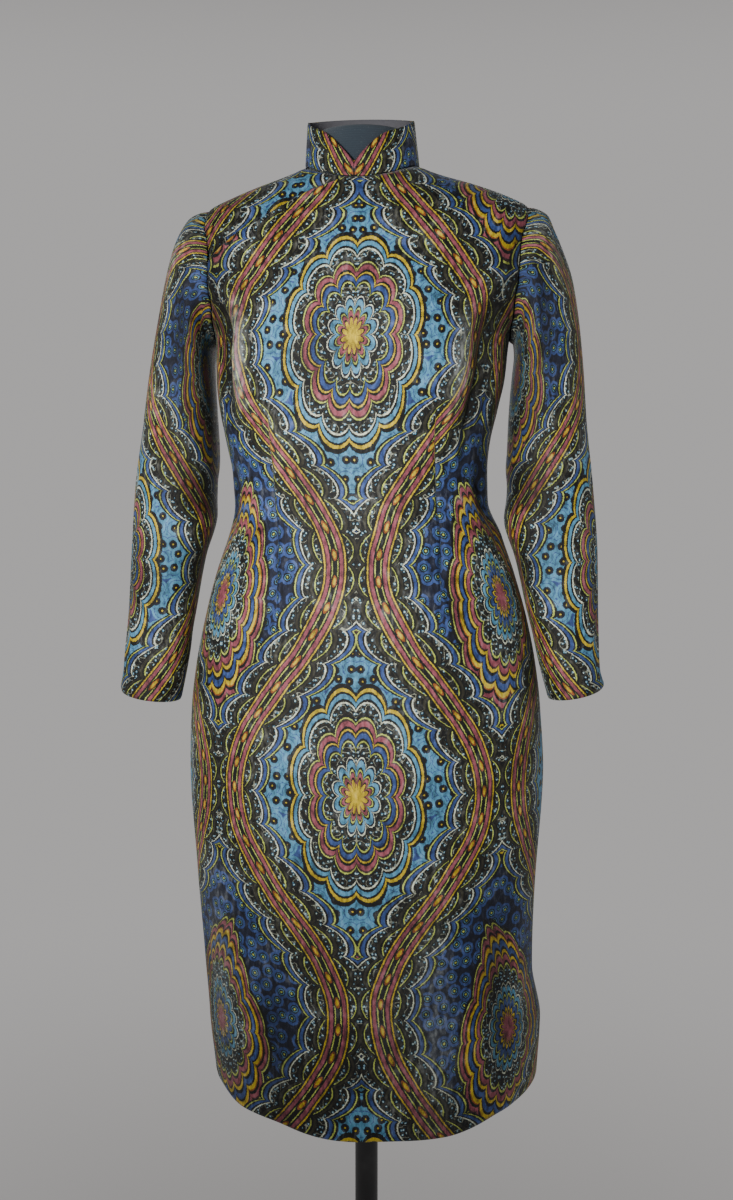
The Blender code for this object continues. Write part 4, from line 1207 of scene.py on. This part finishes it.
class Finish:
    """A material under construction, or the background of the world."""

    def __init__(self, name, kind="materials", shader="Principled BSDF"):
        self.material = getattr(bpy.data, kind).new(name)
        self.material.use_nodes = True
        self.tree = self.material.node_tree
        self.shader = self.tree.nodes[shader]

    def node(self, kind, settings, inputs, output=0):
        """Adds a node, sets it up, joins its sockets and returns one of its outputs."""
        node = self.tree.nodes.new(kind)
        for name, setting in settings.items():
            if name == "ramp":
                self.set_ramp(node.color_ramp, *setting)
            else:
                setattr(node, name, setting)
        for name, value in inputs.items():
            self.join(value, node.inputs[name])
        return Value(self, node.outputs[output])

    def set_ramp(self, ramp_settings, interpolation, stops):
        ramp_settings.interpolation = interpolation
        elements = ramp_settings.elements
        while len(elements) < len(stops):
            elements.new(1.0)
        for element, (place, colour) in zip(elements, stops):
            element.position = place
            element.color = colour

    def join(self, value, socket):
        if isinstance(value, Value):
            self.tree.links.new(value.socket, socket)
        else:
            socket.default_value = value

    def set(self, **sockets):
        """Sets the shader's sockets: underscores stand for spaces."""
        for name, value in sockets.items():
            self.join(value, self.shader.inputs[name.replace("_", " ")])

    def object_place(self):
        return self.node("ShaderNodeTexCoord", {}, {}, output="Object")

    def flat_place(self):
        """The place on the flat cloth, in metres."""
        return self.node("ShaderNodeUVMap", {"uv_map": FLAT_MAP}, {})

    def mix(self, share, first, second, blend="MIX"):
        """A colour between two, or the second blended over the first."""
        settings = {"data_type": "RGBA", "blend_type": blend, "clamp_factor": True}
        return self.node("ShaderNodeMix", settings, {0: share, 6: first, 7: second}, output=2)

    def vector(self, x, y, z=0.0):
        return self.node("ShaderNodeCombineXYZ", {}, {0: x, 1: y, 2: z})

    def parts(self, vector):
        return tuple(self.node("ShaderNodeSeparateXYZ", {}, {0: vector}, output=axis) for axis in range(3))

    def noise(self, place, scale, detail, roughness=0.5, output="Fac"):
        inputs = {"Vector": place, "Scale": scale, "Detail": detail, "Roughness": roughness}
        return self.node("ShaderNodeTexNoise", {"noise_dimensions": "3D"}, inputs, output)

    def strayed(self, place, most, noise, read_at):
        """A flat place moved about by a noise that is read at another place."""
        wander = self.noise(read_at, *noise, output="Color")
        inputs = {0: wander, 1: (most, most, 0.0), 2: place}
        return self.node("ShaderNodeVectorMath", {"operation": "MULTIPLY_ADD"}, inputs)

    def pebbles(self, place, scale, randomness):
        """Distance from the middle of the nearest of many scattered dots, in dot spacings."""
        settings = {"voronoi_dimensions": "2D", "feature": "F1"}
        inputs = {"Vector": place, "Scale": scale, "Randomness": randomness}
        return self.node("ShaderNodeTexVoronoi", settings, inputs)

    def bump(self, height, distance):
        return self.node("ShaderNodeBump", {}, {"Height": height, "Distance": distance})

    def steps(self, value, stops):
        """A colour that steps from dye to dye: each stop is where a dye starts."""
        lights = [(start, light_of(DYES[dye])) for start, dye in stops]
        return self.node("ShaderNodeValToRGB", {"ramp": ("CONSTANT", lights)}, {0: value})


def banded(finish, distance, rings, specks):
    """Bands of dye by distance, innermost first, and where the last one ends; specks fill their own bands."""
    ends = np.cumsum([width for width, _ in rings]) / MILLIMETRES
    starts = np.concatenate(([0.0], ends[:-1]))
    whole = float(ends[-1])
    dyes = ["black" if dye == "specks" else dye for _, dye in rings]
    colour = finish.steps(distance / whole, zip((starts / whole).tolist(), dyes))
    for start, end, (_, dye) in zip(starts, ends, rings):
        if dye == "specks":
            inside = (distance > float(start)) * (distance < float(end))
            colour = finish.mix(inside, colour, specks)
    return colour, whole


def scallops(value):
    """A row of round lobes between sharp notches, 0 to 1."""
    return abs(value.sine()) ** SCALLOP_POWER


def petals(up, across, motif):
    """How far the lobes round a motif stand out at a point."""
    return scallops(up.turn_from(across) * (motif["petals"] / 2)) * motif["petal_depth"]


def length(first, second):
    return (first * first + second * second).root()


def velvet_print(finish, flat):
    """An ogee trellis with rosettes and paisley drops, mirrored about the middle line of each piece."""
    column, repeat = OGEE["column"], OGEE["repeat"]
    across, height, _ = finish.parts(flat)
    across = abs(across)
    stray = OGEE["stray"]
    drawn = finish.vector(across - stray / 2, height - stray / 2 - OGEE["middle"])
    sketched = finish.strayed(drawn, stray, OGEE["stray_noise"], finish.vector(across, height))
    out, up, _ = finish.parts(sketched)
    folded = out.there_and_back(column)

    phase = up * (2 * math.pi / repeat)
    swing = phase.cosine() * OGEE["swing"] + column / 2
    slope = phase.sine() * (OGEE["swing"] * 2 * math.pi / repeat)
    beside = (folded - swing) / (slope * slope + 1).root()
    drop_cell = beside > 0.0
    near = abs(beside)
    cell_across = folded + drop_cell * (column - 2 * folded)
    cell_up = (up + drop_cell * (repeat / 2) + repeat / 2) % repeat - repeat / 2

    place = finish.vector(folded, cell_up)
    dots = finish.pebbles(place, *DOTS)
    curls = abs(finish.noise(place, *CURLS["noise"]) - 0.5) < CURLS["share"]
    specks = finish.steps(finish.pebbles(place, *SPECKS), SPECK_RINGS)
    specks = finish.mix(curls * CURLS["strength"], specks, light_of(DYES[CURLS["dye"]]))

    squat = cell_up * ROSETTE["squash"]
    from_rosette = length(cell_across, squat) - petals(squat, cell_across, ROSETTE)
    lift = (cell_up / PAISLEY["length"] + PAISLEY["start"]).most(0.0)
    curled = out - column + lift * lift * lift * PAISLEY["curl"] - PAISLEY["offset"]
    sideways = curled / (PAISLEY["width"] - lift * PAISLEY["taper"]).most(PAISLEY["tip"])
    upright = cell_up * PAISLEY["squash"] + PAISLEY["drop"]
    from_paisley = length(sideways, upright) - petals(upright, sideways, PAISLEY)
    above = abs(cell_up) - FLORET["height"]
    from_floret = length(cell_across, above) - petals(above, cell_across, FLORET)
    from_edge = near - scallops(up * (math.pi / LACE["spacing"])) * LACE["depth"]
    step = BEADS["spacing"]
    from_bead = length(near * BEADS["roundness"], (up + step / 2) % step - step / 2)

    colour = finish.mix(drop_cell, finish.steps(dots, SKY_DOTS), finish.steps(dots, ROYAL_DOTS))
    for distance, rings, cell in (
        (from_floret, FLORET_RINGS, None),
        (from_rosette, ROSETTE_RINGS, 1 - drop_cell),
        (from_paisley, PAISLEY_RINGS, drop_cell),
        (from_edge, LACE_RINGS, None),
        (near, TRELLIS_RINGS, None),
        (from_bead / BEADS["roundness"], BEAD_RINGS, None),
    ):
        motif, end = banded(finish, distance, rings, specks)
        inside = distance < end
        colour = finish.mix(inside if cell is None else inside * cell, colour, motif)
    return colour


def velvet_material():
    """Printed silk velvet: the dyes greyed a little by painted sheen, a short pile that lies in patches,
    painted highlights and shade from the relief, and its sheen.
    """
    finish = Finish("Printed velvet")
    flat = finish.flat_place()
    colour = velvet_print(finish, finish.strayed(flat, PILE["bleed"], PILE["bleed_noise"], flat))
    pile = finish.noise(flat, *PILE["grain"])
    stretched = {0: flat, 1: PILE["lay_stretch"]}
    brushed = finish.node("ShaderNodeVectorMath", {"operation": "MULTIPLY"}, stretched)
    lay = finish.noise(brushed, *PILE["lay"])
    patches = finish.noise(flat, *PILE["patches"])
    shade = 1 + (pile - 0.5) * PILE["grain_shade"] + (lay - 0.5) * PILE["lay_shade"]
    shade = (shade + (patches - 0.5) * PILE["patch_shade"]).most(PILE["darkest"])
    # Painted highlight and shade: the relief's crests are lightened and greyed, its troughs darkened
    relief = finish.node("ShaderNodeAttribute", {"attribute_name": PAINTED_LIGHT_RELIEF}, {}, output="Fac")
    crest = (relief / PILE["crest"]).most(0.0).least(1.0)
    trough = (relief / -PILE["trough"]).most(0.0).least(1.0)
    shade = shade * (1 + crest * PILE["crest_painted_highlight"]) * (1 - trough * PILE["trough_painted_shade"])
    # Painted sheen: a faint grey veil, random crushed patches of grey, and grey on the crests
    crushed_sheen = lay * PILE["crushed_sheen_lay"] + patches * PILE["crushed_sheen_patches"] - PILE["crushed_sheen_from"]
    crushed_sheen = (crushed_sheen * PILE["crushed_sheen"]).most(0.0) + crest * lay * PILE["crest_painted_grey"]
    painted_sheen_grey = (crushed_sheen + PILE["painted_sheen_grey"]).least(PILE["painted_sheen_limit"])
    colour = finish.mix(painted_sheen_grey, colour, light_of(DYES["painted_sheen"]))
    colour = finish.mix(1.0, colour, finish.vector(shade, shade, shade), "MULTIPLY")
    finish.set(
        Base_Color=colour,
        Roughness=PILE["roughness"] + (lay - 0.5) * PILE["roughness_swing"],
        Normal=finish.bump(pile + lay * PILE["lay_height"], PILE["bump"]),
        Sheen_Weight=PILE["sheen"],
        Sheen_Roughness=PILE["sheen_roughness"],
        Sheen_Tint=PILE["sheen_tint"],
        Specular_IOR_Level=PILE["specular"],
    )
    return finish.material


def woven(finish, flat, threads_a_metre):
    """The height of a plain weave's threads, 0 to 1."""
    across, up, _ = finish.parts(flat)
    warp = (across * (math.pi * threads_a_metre)).sine()
    weft = (up * (math.pi * threads_a_metre)).sine()
    return warp * weft * 0.5 + 0.5


def reverse_material():
    """The velvet's own reverse: a dark plain weave without pile."""
    finish = Finish("Velvet reverse")
    flat = finish.flat_place()
    threads = woven(finish, flat, REVERSE["threads"])
    slubs = finish.noise(flat, *REVERSE["slubs"])
    tone = threads * REVERSE["thread_share"] + slubs * REVERSE["slub_share"]
    finish.set(
        Base_Color=finish.mix(tone, light_of(REVERSE["dark"]), light_of(REVERSE["light"])),
        Roughness=REVERSE["roughness"] + slubs * REVERSE["slub_roughness"],
        Normal=finish.bump(threads, REVERSE["bump"]),
        Specular_IOR_Level=REVERSE["specular"],
    )
    return finish.material


def jersey_material():
    """Dark slate jersey over the form: fine knitted rows, a little faded and linted."""
    finish = Finish("Form jersey")
    place = finish.object_place()
    x, y, z = finish.parts(place)
    wales = (y.turn_from(x) * JERSEY["wales"]).sine()
    rows = ((z + wales * JERSEY["stitch_slant"]) * (math.pi * JERSEY["rows"])).sine()
    knit = wales * rows * 0.5 + 0.5
    worn = finish.noise(place, *JERSEY["wear"])
    lint = finish.noise(place, *JERSEY["lint"]) > JERSEY["lint_from"]
    tone = knit * JERSEY["knit_share"] + worn * JERSEY["wear_share"]
    colour = finish.mix(tone, light_of(JERSEY["dark"]), light_of(JERSEY["light"]))
    finish.set(
        Base_Color=finish.mix(lint * JERSEY["lint_strength"], colour, light_of(JERSEY["lint_colour"])),
        Roughness=JERSEY["roughness"] + worn * JERSEY["worn_roughness"],
        Normal=finish.bump(knit, JERSEY["bump"]),
        Sheen_Weight=JERSEY["sheen"],
        Sheen_Roughness=JERSEY["sheen_roughness"],
        Specular_IOR_Level=JERSEY["specular"],
    )
    return finish.material


def steel_material():
    """Satin black paint on steel: faint orange peel, some dust and rubbed marks."""
    finish = Finish("Black steel")
    place = finish.object_place()
    peel = finish.noise(place, *STEEL["peel"])
    dust = finish.noise(place, *STEEL["dust"])
    rubbed = finish.noise(place, *STEEL["rub"])
    settled = (dust - STEEL["dust_from"]).most(0.0) * STEEL["dust_strength"]
    finish.set(
        Base_Color=finish.mix(settled, light_of(STEEL["black"]), light_of(STEEL["dusty"])),
        Roughness=STEEL["roughness"] + dust * STEEL["dust_roughness"] + rubbed * STEEL["rub_roughness"],
        Normal=finish.bump(peel, STEEL["bump"]),
        Specular_IOR_Level=STEEL["specular"],
    )
    return finish.material


def floor_material():
    """Matt pale paper with the faintest mottle, which takes on the background's tone far out."""
    finish = Finish("Pale floor")
    place = finish.object_place()
    mottle = finish.noise(place, *STAGE["mottle"])
    shades = (STAGE["mottle_shade"], 1.0)
    lower, upper = ((*(channel * shade for channel in STAGE["colour"]), 1.0) for shade in shades)
    finish.set(
        Base_Color=finish.mix(mottle, lower, upper),
        Roughness=STAGE["roughness"],
        Specular_IOR_Level=STAGE["specular"],
    )
    x, y, _ = finish.parts(place)
    reach = {"Value": length(x, y), "From Min": STAGE["fade_from"], "From Max": STAGE["fade_to"]}
    far = finish.node("ShaderNodeMapRange", {"interpolation_type": "SMOOTHSTEP"}, reach)
    glow = {"Color": (*WORLD["colour"], 1.0), "Strength": WORLD["horizon"]}
    background = finish.node("ShaderNodeEmission", {}, glow)
    near = Value(finish, finish.shader.outputs[0])
    faded = finish.node("ShaderNodeMixShader", {}, {0: far, 1: near, 2: background})
    finish.join(faded, finish.tree.nodes["Material Output"].inputs["Surface"])
    return finish.material


def make_stage():
    """A round pale floor."""
    bm = bmesh.new()
    line = [bm.verts.new((radius, 0, 0)) for radius in (0, *STAGE["radii"])]
    edges = [bm.edges.new(pair) for pair in zip(line, line[1:])]
    bmesh.ops.spin(
        bm, geom=line + edges, axis=(0, 0, 1), cent=(0, 0, 0), dvec=(0, 0, 0),
        angle=2 * math.pi, steps=STAGE["sides"], use_merge=True,
    )
    bmesh.ops.remove_doubles(bm, verts=bm.verts, dist=WELD)
    bmesh.ops.recalc_face_normals(bm, faces=bm.faces)
    make_object("studio_floor", bm, floor_material())


def aim(thing, place, target):
    thing.location = place
    thing.rotation_euler = (Vector(target) - Vector(place)).to_track_quat("-Z", "Y").to_euler()


def make_lights():
    for light in records(LIGHT_COLUMNS, LIGHTS):
        lamp = bpy.data.lights.new(light["name"], "AREA")
        lamp.shape = "DISK"
        lamp.size = light["size"]
        lamp.spread = math.radians(light["spread"])
        lamp.energy = light["watts"]
        lamp.color = light["colour"]
        aim(placed(light["name"], lamp), light["place"], light["target"])


def make_background():
    """A pale horizon that darkens overhead."""
    studio = Finish("Studio", "worlds", "Background")
    _, _, height = studio.parts(studio.node("ShaderNodeTexCoord", {}, {}, output="Generated"))
    fall = {
        "Value": height, "From Min": WORLD["from"], "From Max": WORLD["to"],
        "To Min": WORLD["horizon"], "To Max": WORLD["overhead"],
    }
    strength = studio.node("ShaderNodeMapRange", {"interpolation_type": "SMOOTHSTEP"}, fall)
    studio.set(Color=(*WORLD["colour"], 1.0), Strength=strength)
    bpy.context.scene.world = studio.material


def make_camera():
    azimuth = math.radians(CAMERA["azimuth"])
    pitch = math.radians(CAMERA["pitch"])
    distance = CAMERA["distance"]
    place = Vector((distance * math.sin(azimuth), -distance * math.cos(azimuth), CAMERA["height"]))
    forward = Vector((-math.sin(azimuth), math.cos(azimuth), -math.tan(pitch)))
    data = bpy.data.cameras.new("Camera")
    data.sensor_width = CAMERA["sensor"]
    data.lens = CAMERA["sensor"] * CAMERA["focal_pixels"] / CAMERA["image_height"]
    data.clip_start = CAMERA["clip_start"]
    camera = placed("Camera", data)
    aim(camera, place, place + forward)
    bpy.context.scene.camera = camera


def make_cloths():
    """The dress's pieces, by the node that each stands for."""
    skins = (velvet_material(), reverse_material())
    columns = panel_columns()
    rows = panel_rows(HEM_LEVEL)
    return {
        "dress_front": make_panel("dress_front", front_place, columns, rows, FRONT_DART, skins),
        "dress_back": make_panel("dress_back", back_place, columns, rows, BACK_DART, skins),
        "dress_underlap": make_underlap(skins),
        "sleeve_right": make_sleeve("sleeve_right", RIGHT_SLEEVE, skins),
        "sleeve_left": make_sleeve("sleeve_left", LEFT_SLEEVE, skins),
        "collar": make_collar(skins),
    }


def make_stand():
    steel = steel_material()
    low, high = BASE_THICKNESS + SEAM_GAP, FORM_FOOT - SEAM_GAP
    return {
        "stand_post": make_round("post_tube", POST_RADIUS, low, high, POST_SIDES, POST_BEVEL, steel),
        "stand_base": make_round(
            "base_plate", BASE_RADIUS, 0, BASE_THICKNESS, BASE_SIDES, BASE_BEVEL, steel,
        ),
    }


def stand_for(piece, node):
    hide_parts(node)
    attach(piece, "root")


def main():
    make_stage()
    make_lights()
    make_background()
    make_camera()
    cloths = make_cloths()
    form = make_form(jersey_material())
    stand = make_stand()
    for node, piece in cloths.items():
        stand_for(piece, node)
    stand_for(form, "form_torso")
    for node, piece in stand.items():
        stand_for(piece, node)


main()
